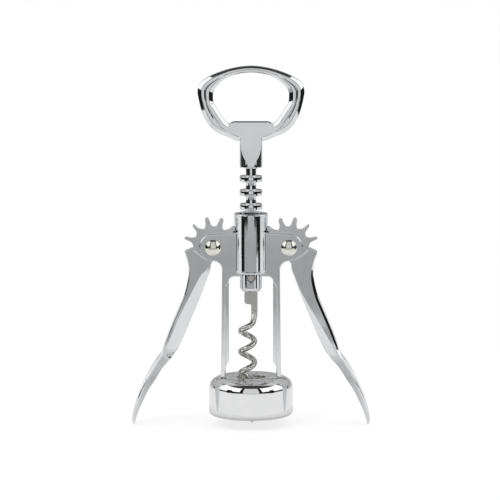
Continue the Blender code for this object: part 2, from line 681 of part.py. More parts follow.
def ferrule_profile():
    chamfer = FERRULE_TOP_CHAMFER
    rounding = FERRULE_BOTTOM_ROUNDING
    socket = RACK_CORE_RADIUS + FIT_GAP
    socket_floor = FERRULE_TOP - RACK_SPIGOT_DEPTH_IN_FERRULE - FIT_GAP
    profile = [(0, socket_floor), (socket, socket_floor), (socket, FERRULE_TOP)]
    profile += [(FERRULE_RADIUS - chamfer, FERRULE_TOP), (FERRULE_RADIUS, FERRULE_TOP - chamfer)]
    profile += arc((FERRULE_RADIUS - rounding, FERRULE_BOTTOM + rounding), rounding, 0, -pi / 2, 6)
    return profile + [(0, FERRULE_BOTTOM)]


def make_ferrule(parts, tools):
    ferrule = turned("worm_ferrule", ferrule_profile(), parts, RACK_STEPS)
    half_width = TANG_WIDTH / 2 + FIT_GAP
    half_depth = TANG_THICKNESS / 2 + FIT_GAP
    slot = box("tang_slot", (-half_width, -half_depth, FERRULE_BOTTOM - CUT_OVERRUN),
               (half_width, half_depth, TANG_TOP + FIT_GAP), tools)
    combine(ferrule, slot, "DIFFERENCE")
    hole = cross_cylinder("pin_hole", PIN_RADIUS + FIT_GAP, FERRULE_RADIUS + CUT_OVERRUN, (0, 0, PIN_HEIGHT),
                          SMALL_STEPS, tools)
    combine(ferrule, hole, "DIFFERENCE")
    for side, sign in (("front", -1), ("back", 1)):
        centre = (0, sign * (FERRULE_RADIUS - FERRULE_DIMPLE_DEPTH + CUT_OVERRUN), PIN_HEIGHT)
        dimple = cross_cylinder(f"{side}_dimple", FERRULE_DIMPLE_RADIUS, CUT_OVERRUN, centre,
                                SMALL_STEPS, tools)
        combine(ferrule, dimple, "DIFFERENCE")
    return settle(ferrule)


def make_pin(parts):
    end = FERRULE_RADIUS - FIT_GAP
    rounding = PIN_END_ROUNDING
    upper = [(0, end)] + arc((PIN_RADIUS - rounding, end - rounding), rounding, pi / 2, 0, 3)
    profile = upper + [(radius, -height) for radius, height in reversed(upper)]
    pin = settle(turned("worm_pin", profile, parts, SMALL_STEPS))
    pin.location = (0, 0, PIN_HEIGHT)
    pin.rotation_euler = (pi / 2, 0, 0)
    return pin


def tang_outline():
    """Flat tang: a wide block with a rounded lower corner and the narrow strip beside it."""
    half = TANG_WIDTH / 2
    strip_left = STRIP_CENTRE - STRIP_HALF_WIDTH
    round_at = (-half + TANG_STEP_RADIUS, TANG_BOTTOM + TANG_STEP_RADIUS)
    outline = [(half, TANG_TOP), (-half, TANG_TOP)]
    outline += arc(round_at, TANG_STEP_RADIUS, pi, 3 * pi / 2, 6)
    fillet = TANG_STEP_RADIUS / 2
    outline += arc((strip_left - fillet, TANG_BOTTOM - fillet), fillet, pi / 2, 0, 4)
    return outline + [(strip_left, TANG_BOTTOM - TANG_STRIP_LENGTH), (half, TANG_BOTTOM - TANG_STRIP_LENGTH)]


def worm_path():
    """Centre line of the wire with its radius: a steep lead out of the strip, then a right-hand helix."""
    axis_x = STRIP_CENTRE - WORM_COIL_RADIUS
    coil_top = TANG_BOTTOM - TANG_STRIP_LENGTH - WORM_LEAD_RISE + WORM_WIRE_RADIUS / 2
    turns = (coil_top - WORM_TIP_HEIGHT) / WORM_PITCH
    steps = round(turns * WORM_POINTS_PER_TURN)
    strip_foot = TANG_BOTTOM - TANG_STRIP_LENGTH + WORM_WIRE_RADIUS
    path = [(STRIP_CENTRE, 0, strip_foot, WORM_WIRE_RADIUS)]
    for step in range(steps + 1):
        turn = turns * step / steps
        angle = 2 * pi * turn
        lead = max(0, 1 - turn / WORM_LEAD_TURNS)
        height = coil_top - WORM_PITCH * turn + WORM_LEAD_RISE * lead ** 2
        taper = min(1, (turns - turn) / WORM_TAPER_TURNS)
        radius = WORM_TIP_RADIUS + (WORM_WIRE_RADIUS - WORM_TIP_RADIUS) * sqrt(taper)
        path.append((axis_x + WORM_COIL_RADIUS * cos(angle), -WORM_COIL_RADIUS * sin(angle), height, radius))
    return path


def make_worm(parts, tools):
    tang = flat_plate("worm", [tang_outline()], TANG_THICKNESS / 2, parts)
    curve = bpy.data.curves.new("worm_wire", "CURVE")
    curve.dimensions = "3D"
    curve.bevel_depth = 1
    curve.bevel_resolution = 2
    curve.use_fill_caps = True
    path = worm_path()
    spline = curve.splines.new("POLY")
    spline.points.add(len(path) - 1)
    for point, (x, y, z, radius) in zip(spline.points, path):
        point.co = (x, y, z, 1)
        point.radius = radius
    wire = curve_to_mesh("worm_wire", curve, Matrix.Identity(4), tools)
    combine(tang, wire, "UNION")
    centre = (0, 0, PIN_HEIGHT)
    hole = cross_cylinder("tang_hole", PIN_RADIUS + FIT_GAP, TANG_THICKNESS, centre, SMALL_STEPS, tools)
    combine(tang, hole, "DIFFERENCE")
    return settle(tang)


# Handle

def ring_section(row):
    """Ten-sided section of the handle ring, from the outer edge over the front to the inner edge."""
    places = [Vector((-row[i] * RING_HALF_WIDTH, 0, NECK_TOP + row[i + 1] * RING_RISE)) for i in (0, 2, 4, 6)]
    outer, outer_bevel, inner_bevel, inner = places
    ridge = outer_bevel.lerp(inner_bevel, 0.5)
    front = [(outer, RING_EDGE_THICKNESS), (outer_bevel, RING_BAND_THICKNESS), (ridge, RING_RIDGE_THICKNESS),
             (inner_bevel, RING_BAND_THICKNESS), (inner, RING_EDGE_THICKNESS)]
    loop = [(place, -thickness / 2) for place, thickness in front]
    loop += [(place, thickness / 2) for place, thickness in reversed(front)]
    return [place + Vector((0, depth, 0)) for place, depth in loop]


def lifter_outline():
    left = [(-x * RING_HALF_WIDTH, NECK_TOP + z * LIFTER_TOP_RISE) for x, z in LIFTER_SHARES]
    return left + mirrored(reversed(left))


def neck_profile():
    rounding = NECK_BOTTOM_ROUNDING
    socket = RACK_CORE_RADIUS + FIT_GAP
    roof = NECK_BOTTOM + RACK_SPIGOT_DEPTH_IN_NECK + FIT_GAP
    top = NECK_TOP + CUT_OVERRUN
    profile = [(0, top), (NECK_RADIUS, top)]
    profile += arc((NECK_RADIUS - rounding, NECK_BOTTOM + rounding), rounding, 0, -pi / 2, 3)
    return profile + [(socket, NECK_BOTTOM), (socket, roof), (0, roof)]


def make_handle(parts, tools):
    handle = turned("opener_handle", neck_profile(), parts, ROUND_STEPS)
    back = [(share * NECK_RADIUS, NECK_BOTTOM + up * NECK_LENGTH) for up, share in NECK_WEDGE_SHARES]
    front = [(-y, z) for y, z in reversed(back)]
    wedge = flat_plate("neck_wedge", [back + front], 2 * NECK_RADIUS, tools, facing="side")
    combine(handle, wedge, "INTERSECT")
    right_rows = []
    for row in reversed(RING_SHARES[1:]):
        right_rows.append(tuple(-v if i % 2 == 0 else v for i, v in enumerate(row)))
    rows = smooth_rows(list(RING_SHARES) + right_rows, RING_SAMPLES, closed=True)
    ring = loft("ring_blank", [ring_section(row) for row in rows], tools, closed=True)
    combine(handle, ring, "UNION")
    lifter = flat_plate("lifter_blank", [lifter_outline()], HANDLE_PLATE_THICKNESS / 2, tools)
    combine(handle, lifter, "UNION")
    return settle(handle)


def main():
    clear_scene()
    parts = make_collection("corkscrew")
    tools = make_collection("corkscrew_cutters")
    chrome = make_material("chromed_casting", (0.80, 0.81, 0.82), 1.0, 0.06)
    bright = make_material("chromed_bell", (0.86, 0.86, 0.87), 1.0, 0.04)
    nickel = make_material("nickel_rivet", (0.84, 0.82, 0.75), 1.0, 0.12)
    steel = make_material("worm_steel", (0.50, 0.50, 0.50), 1.0, 0.34)
    nylon = make_material("white_nylon", (0.82, 0.81, 0.78), 0.0, 0.45)
    dressed = [
        (make_frame(parts, tools), chrome),
        (make_bell(parts, tools), bright),
        (make_guide_ring(parts), nylon),
        (make_rack(parts), chrome),
        (make_handle(parts, tools), chrome),
        (make_ferrule(parts, tools), chrome),
        (make_pin(parts), steel),
        (make_worm(parts, tools), steel),
    ]
    dressed += [(lever, chrome) for lever in make_levers(parts, tools)]
    dressed += [(rivet, nickel) for rivet in make_rivets(parts)]
    for piece, material in dressed:
        piece.data.materials.clear()
        piece.data.materials.append(material)


main()
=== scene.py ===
"""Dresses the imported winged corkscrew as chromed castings, a polished bell, nickel rivets and a steel worm.

Units are metres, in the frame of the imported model: +Z up along the worm, X across the levers, and the
front faces -Y. Every node is replaced by a piece of the same sizes, with finer curves, rounded edges and
small forms that its solid leaves out.
"""
import json
from math import asin, cos, pi, radians, sin, sqrt, tan

import bmesh
import bpy
from mathutils import Matrix, Vector


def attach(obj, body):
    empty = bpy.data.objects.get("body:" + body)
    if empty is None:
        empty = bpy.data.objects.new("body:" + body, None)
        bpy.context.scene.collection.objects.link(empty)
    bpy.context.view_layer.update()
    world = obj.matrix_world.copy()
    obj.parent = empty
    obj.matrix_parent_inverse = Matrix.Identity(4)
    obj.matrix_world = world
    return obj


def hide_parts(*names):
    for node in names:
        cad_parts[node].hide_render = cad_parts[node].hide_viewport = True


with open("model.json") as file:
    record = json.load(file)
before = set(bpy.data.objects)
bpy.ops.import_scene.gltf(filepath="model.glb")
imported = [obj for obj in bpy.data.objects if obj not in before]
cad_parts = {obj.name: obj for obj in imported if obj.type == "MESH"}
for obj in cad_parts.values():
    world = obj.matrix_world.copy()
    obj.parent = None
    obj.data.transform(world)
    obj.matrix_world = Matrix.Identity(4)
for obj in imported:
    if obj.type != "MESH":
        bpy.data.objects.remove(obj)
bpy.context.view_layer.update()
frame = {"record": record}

# Fits and general rounding
FIT_GAP = 0.0003
CUT_OVERRUN = 0.002
WELD_DISTANCE = 0.000005
EDGE_ROUNDING = 0.0004

# Rack and gear
RING_PITCH = 0.0070
GEAR_TOOTH_COUNT = 12
TEETH_ON_LEVER = 7
TOOTH_PHASE_SHARE = 0.41
RACK_RING_COUNT = 6
RACK_CORE_RADIUS = 0.00265
RACK_RING_RADIUS = 0.00565
RACK_RING_WIDTH = 0.0029
RACK_RING_ROUNDING = 0.0004
RACK_ROOT_FILLET = 0.0003
GEAR_THICKNESS = 0.0036
GEAR_EDGE_ROUNDING = 0.0002
GEAR_ROOT_DEPTH = 0.0034
GEAR_TIP_HEIGHT = 0.0015
GEAR_HUB_RADIUS = 0.0066
GEAR_SECTOR_END = radians(258)
GEAR_HUB_START = radians(275)
GEAR_HEEL_SHARE = 0.7
TOOTH_ROOT_WIDTH = 0.0041
SPIGOT_DEPTH_IN_FERRULE = 0.0053
SPIGOT_DEPTH_IN_NECK = 0.0070

# Frame casting
PIVOT_HEIGHT = 0.0900
BARREL_ABOVE_PIVOT = 0.0170
BARREL_BELOW_PIVOT = 0.0131
BARREL_BORE_CLEARANCE = 0.00035
BARREL_WALL = 0.0024
BARREL_RIM_ROUNDING = 0.0007
BARREL_LIP_HEIGHT = 0.0012
BARREL_LIP_PROUD = 0.00025
PLATE_THICKNESS = 0.0021
PLATE_EDGE_ROUNDING = 0.00055
PLATE_END_RADIUS = 0.0069
PLATE_TOP_RISE = 0.0007
GEAR_SLOT_CLEARANCE = 0.0005
ARCH_DROP = 0.0015
ARCH_CORNER_RADIUS = 0.0028
LEG_REACH_TOP = 0.0145
LEG_REACH_FOOT = 0.01515
LEG_FLANGE_WIDTH_TOP = 0.0018
LEG_FLANGE_WIDTH_FOOT = 0.0024
LEG_WEB_WIDTH = 0.0017
LEG_WEB_THICKNESS = 0.0030
LEG_WEB_STOP_ABOVE_BELL = 0.0085
LEG_WEB_RUNOUT = 0.0025
TENON_WIDTH = 0.0016
TENON_DEPTH = 0.0040

# Bell and guide ring
BELL_RIM_HEIGHT = 0.0050
BELL_HEIGHT = 0.0190
BELL_RADIUS = 0.0211
BELL_WALL = 0.0036
BELL_TOP_THICKNESS = 0.0026
BELL_SHOULDER_RADIUS = 0.0055
BELL_RIM_ROUNDING = 0.0030
BELL_INNER_ROUNDING = 0.0005
BELL_WORM_HOLE_RADIUS = 0.0070
BELL_HOLE_ROUNDING = 0.0006
GUIDE_WALL = 0.0020
GUIDE_RECESS = 0.0012
GUIDE_SEAT_THICKNESS = 0.0020
GUIDE_HOLE_RADIUS = 0.0080
GUIDE_MOUTH_CHAMFER = 0.0012

# Rivets
RIVET_SHANK_RADIUS = 0.0024
RIVET_HEAD_RADIUS = 0.00395
RIVET_HEAD_HEIGHT = 0.0016
RIVET_HEAD_EDGE = 0.0003

# Ferrule, pin and worm
FERRULE_RADIUS = 0.00555
FERRULE_BELOW_BARREL = 0.0097
FERRULE_BOTTOM_ROUNDING = 0.0023
FERRULE_TOP_CHAMFER = 0.0005
FERRULE_DIMPLE_RADIUS = 0.0028
FERRULE_DIMPLE_DEPTH = 0.0007
FERRULE_DIMPLE_FLOOR_RADIUS = 0.0021
PIN_RADIUS = 0.0017
PIN_BELOW_BARREL = 0.0020
PIN_END_ROUNDING = 0.0004
TANG_WIDTH = 0.0066
TANG_EDGE_ROUNDING = 0.00025
TANG_ABOVE_PIN = 0.0023
TANG_BELOW_FERRULE = 0.0062
TANG_STEP_RADIUS = 0.0018
TANG_STRIP_LENGTH = 0.0050
TANG_STRIP_MARGIN = 0.0001
WORM_WIRE_RADIUS = 0.0015
WORM_COIL_RADIUS = 0.0034
WORM_PITCH = 0.01065
WORM_TIP_HEIGHT = 0.0004
WORM_TIP_RADIUS = 0.00045
WORM_LEAD_RISE = 0.0042
WORM_POINTS_PER_TURN = 44
WORM_TAPER_TURNS = 0.40
WORM_LEAD_TURNS = 0.17
WORM_WIRE_SIDES = 24

# Handle
NECK_RADIUS = 0.0056
NECK_LENGTH = 0.0129
NECK_BOTTOM_ROUNDING = 0.0006
HANDLE_PLATE_THICKNESS = 0.0050
RING_HALF_WIDTH = 0.0266
RING_RISE = 0.0380
RING_BAND_THICKNESS = 0.0041
RING_GROOVE_PLACE_SHARE = 0.5
RING_GROOVE_HALF_WIDTH_SHARE = 0.16
RING_GROOVE_DEPTH = 0.00017
RING_GROOVE_ROUNDING = 0.0002
RING_EDGE_THICKNESS = 0.0022
RING_EDGE_ROUNDING = 0.0003
RING_BEVEL_ROUNDING = 0.0016
LIFTER_CORNER_ROUNDING = 0.0012
LIFTER_EDGE_ROUNDING = 0.0003
LIFTER_TOP_RISE = 0.0101

# Levers
LEVER_SPREAD = 0.0408
LEVER_PADDLE_WIDTH = 0.0188
LEVER_EDGE_ROUNDING = 0.0005
LEVER_FRONT_CUT = 0.0005
LEVER_CUT_SLOPE = 0.55
LEVER_KNEE_ROUNDING = 0.0004
LEVER_PLATE_CLEARANCE = 0.00045
LEVER_SHOULDER_ANGLE = radians(39.5)
LEVER_SHOULDER_ARC_END = radians(30)

# Steps of the fine curves
TURN_STEPS = 160
SMALL_TURN_STEPS = 72
ARC_STEPS = 14
SECTION_ARC_STEPS = 4
RING_SAMPLES = 8
ARM_SAMPLES = 8
TOOTH_SAMPLES = 3
EDGE_SEGMENTS = 3
EDGE_PROFILE = 0.5
SMOOTH_ANGLE = radians(35)
CORNER_REACH_SHARE = 0.5

# Sign of X on each side
SIDES = {"left": -1, "right": 1}

# Derived sizes and places
LEVER_DROP = PIVOT_HEIGHT
TOOTH_ANGLE = 2 * pi / GEAR_TOOTH_COUNT
GEAR_PITCH_RADIUS = RING_PITCH / TOOTH_ANGLE
GEAR_TIP_RADIUS = GEAR_PITCH_RADIUS + GEAR_TIP_HEIGHT
GEAR_ROOT_RADIUS = GEAR_PITCH_RADIUS - GEAR_ROOT_DEPTH
PIVOT_OFFSET = GEAR_PITCH_RADIUS + RACK_RING_RADIUS
GEAR_GAP = GEAR_THICKNESS + 2 * FIT_GAP
FRAME_HALF_DEPTH = GEAR_GAP / 2 + PLATE_THICKNESS
RIVET_HOLE_RADIUS = RIVET_SHANK_RADIUS + FIT_GAP
SPIGOT_HOLE_RADIUS = RACK_CORE_RADIUS + FIT_GAP
BARREL_BORE_RADIUS = RACK_RING_RADIUS + BARREL_BORE_CLEARANCE
BARREL_RADIUS = BARREL_BORE_RADIUS + BARREL_WALL
BARREL_TOP = PIVOT_HEIGHT + BARREL_ABOVE_PIVOT
BARREL_BOTTOM = PIVOT_HEIGHT - BARREL_BELOW_PIVOT
LEG_INNER_TOP = LEG_REACH_TOP - LEG_FLANGE_WIDTH_TOP
LEG_INNER_FOOT = LEG_REACH_FOOT - LEG_FLANGE_WIDTH_FOOT
TENON_CENTRE = LEG_REACH_FOOT - LEG_FLANGE_WIDTH_FOOT / 2
BELL_TOP = BELL_RIM_HEIGHT + BELL_HEIGHT
BELL_CEILING = BELL_TOP - BELL_TOP_THICKNESS
FERRULE_BOTTOM = BARREL_BOTTOM - FERRULE_BELOW_BARREL
PIN_HEIGHT = BARREL_BOTTOM - PIN_BELOW_BARREL
PIN_PLACE = (0, 0, PIN_HEIGHT)
PIN_HOLE_RADIUS = PIN_RADIUS + FIT_GAP
TANG_TOP = PIN_HEIGHT + TANG_ABOVE_PIN
TANG_BOTTOM = FERRULE_BOTTOM - TANG_BELOW_FERRULE
STRIP_FOOT = TANG_BOTTOM - TANG_STRIP_LENGTH
STRIP_HALF_WIDTH = WORM_WIRE_RADIUS + TANG_STRIP_MARGIN
STRIP_CENTRE = TANG_WIDTH / 2 - STRIP_HALF_WIDTH
TANG_THICKNESS = 2 * STRIP_HALF_WIDTH
TOP_RING = RACK_RING_COUNT - 2


def ring_centre(index):
    """Height of a rack ring; ring 0 lies just above the tooth that points nearest to the rack."""
    return PIVOT_HEIGHT + (TOOTH_PHASE_SHARE + 0.5 + index) * RING_PITCH


FERRULE_TOP = ring_centre(-2) + RACK_RING_WIDTH / 2
NECK_BOTTOM = ring_centre(TOP_RING + 1) - RACK_RING_WIDTH / 2
NECK_TOP = NECK_BOTTOM + NECK_LENGTH

# Half widths up one gear tooth: share of the tooth height, share of half the root width
TOOTH_SHARES = (
    (0.0, 1.0), (0.12, 0.80), (0.30, 0.64), (0.55, 0.56), (0.82, 0.50), (0.95, 0.36), (1.0, 0.14),
)
THIN_TOOTH_SHARES = (
    (0.0, 1.0), (0.12, 0.70), (0.30, 0.48), (0.55, 0.38), (0.82, 0.30), (0.95, 0.24), (1.0, 0.10),
)
THIN_TEETH_FROM = 5

# Half depth of the wedge neck: share of its length from the bottom, share of its radius
NECK_WEDGE_SHARES = (
    (-0.1, 1.08), (0.02, 1.05), (0.13, 0.983), (0.23, 0.920), (0.34, 0.840), (0.46, 0.720),
    (0.58, 0.600), (0.70, 0.500), (0.82, 0.450), (1.0, 0.440), (1.3, 0.440),
)

# Handle ring from its top, round the left side, to the neck. Each row holds four points across the
# band: outer edge, outer bevel's end, inner bevel's end, inner edge. Each point is a share of the
# ring's half width to the left, and a share of its rise above the neck.
RING_SHARES = (
    (0.000, 1.000, 0.000, 0.973, 0.000, 0.943, 0.000, 0.914),
    (0.282, 0.980, 0.274, 0.953, 0.265, 0.922, 0.256, 0.894),
    (0.560, 0.927, 0.538, 0.897, 0.497, 0.862, 0.474, 0.834),
    (0.820, 0.848, 0.778, 0.812, 0.690, 0.760, 0.640, 0.735),
    (0.966, 0.766, 0.906, 0.727, 0.775, 0.692, 0.696, 0.668),
    (1.000, 0.668, 0.929, 0.640, 0.789, 0.614, 0.711, 0.600),
    (0.981, 0.560, 0.908, 0.556, 0.775, 0.524, 0.692, 0.503),
    (0.914, 0.384, 0.845, 0.412, 0.722, 0.447, 0.660, 0.470),
    (0.797, 0.229, 0.730, 0.262, 0.590, 0.312, 0.550, 0.343),
    (0.635, 0.124, 0.575, 0.172, 0.500, 0.222, 0.458, 0.264),
    (0.420, 0.061, 0.380, 0.108, 0.350, 0.160, 0.325, 0.205),
    (0.215, 0.010, 0.200, 0.066, 0.190, 0.130, 0.180, 0.190),
)

# Left half of the cap-lifter plate, from its top edge down to the neck: shares as for the ring
LIFTER_SHARES = (
    (0.323, 1.0), (0.372, 0.958), (0.421, 0.850), (0.455, 0.700), (0.485, 0.520), (0.361, 0.414),
    (0.237, 0.325), (0.205, 0.235), (0.205, 0.0), (0.205, -0.2),
)

# Lever arm from the shoulder to the tip: outer face out and down, inner face out and down (shares of
# the spread and the drop), half width of the outer face (a share of half the paddle width, as are all
# other widths), half width of the inner face towards the front, and how far across the front runs flat
# before its bevel starts. Then the same two for the back, and how wide the back's outer edge is cut off.
# The right lever is turned round and shows its back.
ARM_SHARES = (
    (0.346, 0.029, 0.000, -0.047, 0.500, 0.490, 0.92, 0.490, 0.96, 0.020),
    (0.311, 0.080, 0.028, 0.111, 0.500, 0.480, 0.86, 0.480, 0.97, 0.075),
    (0.298, 0.140, 0.065, 0.164, 0.500, 0.440, 0.63, 0.478, 0.96, 0.130),
    (0.313, 0.196, 0.118, 0.231, 0.500, 0.385, 0.48, 0.476, 0.93, 0.155),
    (0.356, 0.273, 0.180, 0.306, 0.500, 0.325, 0.33, 0.440, 0.82, 0.155),
    (0.426, 0.350, 0.256, 0.388, 0.500, 0.275, 0.25, 0.390, 0.68, 0.155),
    (0.522, 0.452, 0.341, 0.481, 0.500, 0.240, 0.22, 0.345, 0.52, 0.155),
    (0.588, 0.532, 0.418, 0.558, 0.540, 0.240, 0.21, 0.345, 0.38, 0.145),
    (0.634, 0.594, 0.512, 0.621, 0.640, 0.290, 0.21, 0.420, 0.32, 0.100),
    (0.706, 0.643, 0.616, 0.674, 0.790, 0.400, 0.23, 0.520, 0.26, 0.045),
    (0.799, 0.712, 0.708, 0.739, 0.930, 0.530, 0.28, 0.600, 0.29, 0.040),
    (0.882, 0.788, 0.794, 0.797, 1.000, 0.660, 0.32, 0.660, 0.32, 0.035),
    (0.941, 0.856, 0.863, 0.861, 0.950, 0.680, 0.36, 0.680, 0.36, 0.030),
    (0.985, 0.920, 0.919, 0.921, 0.800, 0.580, 0.40, 0.580, 0.40, 0.025),
    (1.000, 0.971, 0.953, 0.971, 0.500, 0.360, 0.40, 0.360, 0.40, 0.020),
    (0.985, 1.000, 0.968, 1.000, 0.200, 0.140, 0.40, 0.140, 0.40, 0.010),
)

# Camera, set so that the frame matches the photograph's view
CAMERA_DISTANCE = 1.882
CAMERA_HEIGHT = 0.3642
CAMERA_PITCH = radians(8.34)
CAMERA_SIDE = -0.0005
CAMERA_LENS = 273.6
SENSOR_WIDTH = 36.0

# Floor, sky and lamps (place and watts). White is the brightness that the camera sees as white.
WHITE = (1, 1, 1, 1)
WHITE_LEVEL = 1.0
FLOOR_COLOUR = (0.98, 0.98, 0.98, 1)
FLOOR_IN_METAL = 0.88
SKY_IN_METAL = 0.45
FLOOR_IN_VIEW_SHARE = 0.75
FLOOR_DROP = 0.0002
FLOOR_RADIUS = 4.0
FLOOR_STEPS = 96
LAMP_SIZE = 0.60
LAMPS = {"key_lamp": ((-0.55, -0.60, 0.95), 2.6), "fill_lamp": ((0.70, -0.35, 0.80), 1.4)}

# Reflection cards round the object, seen only by glossy rays. Each row: from azimuth, to azimuth (degrees
# from the front, positive to the right), lower edge as distance and height, upper edge as distance and
# height, brightness at the lower edge and at the upper. Dark flags stand nearer than the walls they cover.
# A paired row is the right card's, mirrored for the left.
WALL = 0.62
FLAG = 0.60
GROUND = 0.0002
CARD_STEPS = 24
CARDS = {
    "front_foot": (-45, 38, WALL, GROUND, WALL, 0.02, 0.42, 0.50),
    "front_low": (-22, 22, WALL, 0.02, WALL, 0.06, 0.48, 0.73),
    "front_high": (-22, 22, WALL, 0.06, WALL, 0.80, 0.73, 0.68),
    "front_top": (-31, 31, WALL, 0.80, WALL, 1.60, 0.05, 0.05),
    "front_roof": (-88, 88, WALL, 1.60, 0.02, 1.60, 0.04, 0.04),
    "step_left": (-45, -22, FLAG, 0.02, FLAG, 0.17, 0.015, 0.015),
    "step_right": (22, 38, FLAG, 0.02, FLAG, 0.17, 0.015, 0.015),
    "flag_left": (-54, -45, FLAG, GROUND, FLAG, 0.18, 0.012, 0.012),
    "flag_right": (38, 52, FLAG, GROUND, FLAG, 0.18, 0.012, 0.012),
    "tall_flag_left": (-70, -54, FLAG, GROUND, FLAG, 0.28, 0.012, 0.012),
    "tall_flag_right": (52, 66, FLAG, GROUND, FLAG, 0.28, 0.012, 0.012),
    "foot_left": (-125, -68, WALL, GROUND, WALL, 0.034, 0.92, 0.92),
    "foot_right": (66, 125, WALL, GROUND, WALL, 0.034, 0.80, 0.80),
    "horizon_left": (-125, -68, WALL, 0.034, WALL, 0.15, 0.03, 0.03),
    "horizon_right": (66, 125, WALL, 0.034, WALL, 0.15, 0.03, 0.03),
    "back_foot": (125, 235, WALL, GROUND, WALL, 0.05, 0.70, 0.62),
    "back_low": (125, 235, WALL, 0.05, WALL, 0.20, 0.46, 0.42),
    "back_band": (163, 197, WALL, 0.20, WALL, 0.27, 0.04, 0.04),
    "back_high": (118, 242, WALL, 0.27, WALL, 1.20, 0.50, 0.62),
    "ground_back": (125, 235, 0.20, GROUND, WALL, GROUND, 0.85, 0.45),
    # The ring of ground under the object is painted shadow: the floor's shade beneath the bell, darker
    # towards the middle, as the metal reflects it.
    "painted_shadow_under_bell": (-180, 180, 0.004, GROUND, 0.060, GROUND, 0.46, 0.82),
    "ground_front": (-45, 38, 0.18, GROUND, 0.37, GROUND, 0.88, 0.42),
    "ground_front_far": (-45, 38, 0.37, GROUND, WALL, GROUND, 0.42, 0.42),
    "ground_flag_left": (-68, -45, 0.44, GROUND, WALL, GROUND, 0.012, 0.012),
    "ground_flag_right": (50, 66, 0.30, GROUND, WALL, GROUND, 0.012, 0.012),
}
PAIRED_CARDS = {
    "gap": (22, 31, FLAG, 0.17, FLAG, 0.80, 0.015, 0.015),
    "soft": (31, 118, WALL, 0.15, WALL, 0.78, 1.22, 1.22),
    "upper": (31, 88, WALL, 0.80, WALL, 1.60, 0.06, 0.06),
    "back_side": (118, 163, WALL, 0.20, WALL, 0.27, 0.46, 0.50),
}
for pair, (inside, outside, *edges) in PAIRED_CARDS.items():
    CARDS[f"{pair}_left"] = (-outside, -inside, *edges)
    CARDS[f"{pair}_right"] = (inside, outside, *edges)

# Finish noises: cells to the metre and detail, and the part of a noise that is used
NOISE_MIDDLE = (0.35, 0.65)
METAL_CLOUD = (140, 2.0)
METAL_HAZE = (420, 3.0)
METAL_SWELL = (95, 1.0)
METAL_LINES = (1.0, 2.0)
BELL_WAVES = (330, 1.0)
WORM_MOTTLE = (900, 3.0)
WORM_MOTTLE_MIDDLE = (0.38, 0.62)
WORM_HAZE = (700, 3.0)
WORM_DENTS = (520, 2.0)
WORM_PITS = (2600, 2.0)
NYLON_CLOUD = (220, 2.0)
NYLON_HAZE = (900, 2.0)
NYLON_GRAIN = (5200, 2.0)

# Plated metals: colour and its clouds, least and most roughness, depth of the swell, depth of the fine
# lines and how many of them lie in a metre along each axis
CASTING_FINISH = {
    "colours": ((0.80, 0.81, 0.82), (0.76, 0.775, 0.785)), "roughness": (0.030, 0.075),
    "swell": 0.000012, "grain": 0.0000012, "lines": (900, 900, 160),
}
BELL_FINISH = {
    "colours": ((0.86, 0.86, 0.87), (0.83, 0.835, 0.84)), "roughness": (0.020, 0.050),
    "swell": 0.000006, "grain": 0.0000008, "lines": (500, 500, 1800),
}
RIVET_FINISH = {
    "colours": ((0.81, 0.812, 0.76), (0.77, 0.768, 0.71)), "roughness": (0.10, 0.15),
    "swell": 0.000004, "grain": 0.000001, "lines": (1200, 1200, 1200),
}
BELL_WAVE_DEPTH = 0.00045
BELL_WAVE_RUNOUT = 0.0004

# Worm steel and nylon
WORM_PREVIEW = (0.62, 0.61, 0.59)
WORM_COLOURS = ((0.46, 0.457, 0.447), (0.74, 0.73, 0.71))
WORM_ROUGHNESS = (0.09, 0.20)
WORM_DENT_DEPTH = 0.00006
WORM_PIT_DEPTH = 0.000004
TANG_ROUGHNESS = 0.38
TANG_TEXTURE_SHARE = 0.12
NYLON_COLOURS = ((0.82, 0.81, 0.78), (0.78, 0.77, 0.73))
NYLON_ROUGHNESS = (0.38, 0.50)
NYLON_GRAIN_DEPTH = 0.00002

BODY_OF = {node: body for body, nodes in frame["record"]["behaviour"]["bodies"].items() for node in nodes}


# Outlines

def arc(centre, radius, start, end, steps):
    """Points on an arc in the plane, from one angle to the other, both ends included."""
    angles = [start + (end - start) * i / steps for i in range(steps + 1)]
    return [Vector((centre[0] + radius * cos(a), centre[1] + radius * sin(a))) for a in angles]


def rounded(corners, steps=ARC_STEPS):
    """Passes a line through (point, radius) corners, with a tangent arc of that radius at each."""
    points = []
    for i, (point, radius) in enumerate(corners):
        point = Vector(point)
        if radius == 0:
            points.append(point)
            continue
        before = Vector(corners[i - 1][0]) - point
        after = Vector(corners[(i + 1) % len(corners)][0]) - point
        half = before.angle(after) / 2
        reach = min(radius / tan(half), CORNER_REACH_SHARE * min(before.length, after.length))
        bend = reach * tan(half)
        centre = point + (before.normalized() + after.normalized()).normalized() * bend / sin(half)
        start = point + before.normalized() * reach - centre
        end = point + after.normalized() * reach - centre
        points += [centre + bend * start.slerp(end, step / steps) for step in range(steps + 1)]
    return points


def mirrored(outline):
    """The same outline on the other side of the axis, walked the same way round."""
    return [(-x, z) for x, z in reversed(outline)]


def blend(t, before, start, end, after):
    """A cubic that runs from start to end with the slopes that its neighbours give it."""
    slope_in = (end - before) / 2
    slope_out = (after - start) / 2
    rest = end - start
    cubic = slope_in + slope_out - 2 * rest
    return start + t * (slope_in + t * (3 * rest - 2 * slope_in - slope_out + t * cubic))


def smooth_rows(rows, samples, closed=False):
    """Passes a smooth curve through rows of values, in so many steps from one row to the next."""
    count = len(rows)
    last = count if closed else count - 1
    result = []
    for i in range(last):
        near = [rows[k % count] if closed else rows[min(max(k, 0), count - 1)] for k in range(i - 1, i + 3)]
        for step in range(samples):
            result.append(tuple(blend(step / samples, *values) for values in zip(*near)))
    if not closed:
        result.append(tuple(rows[-1]))
    return result


# Solids

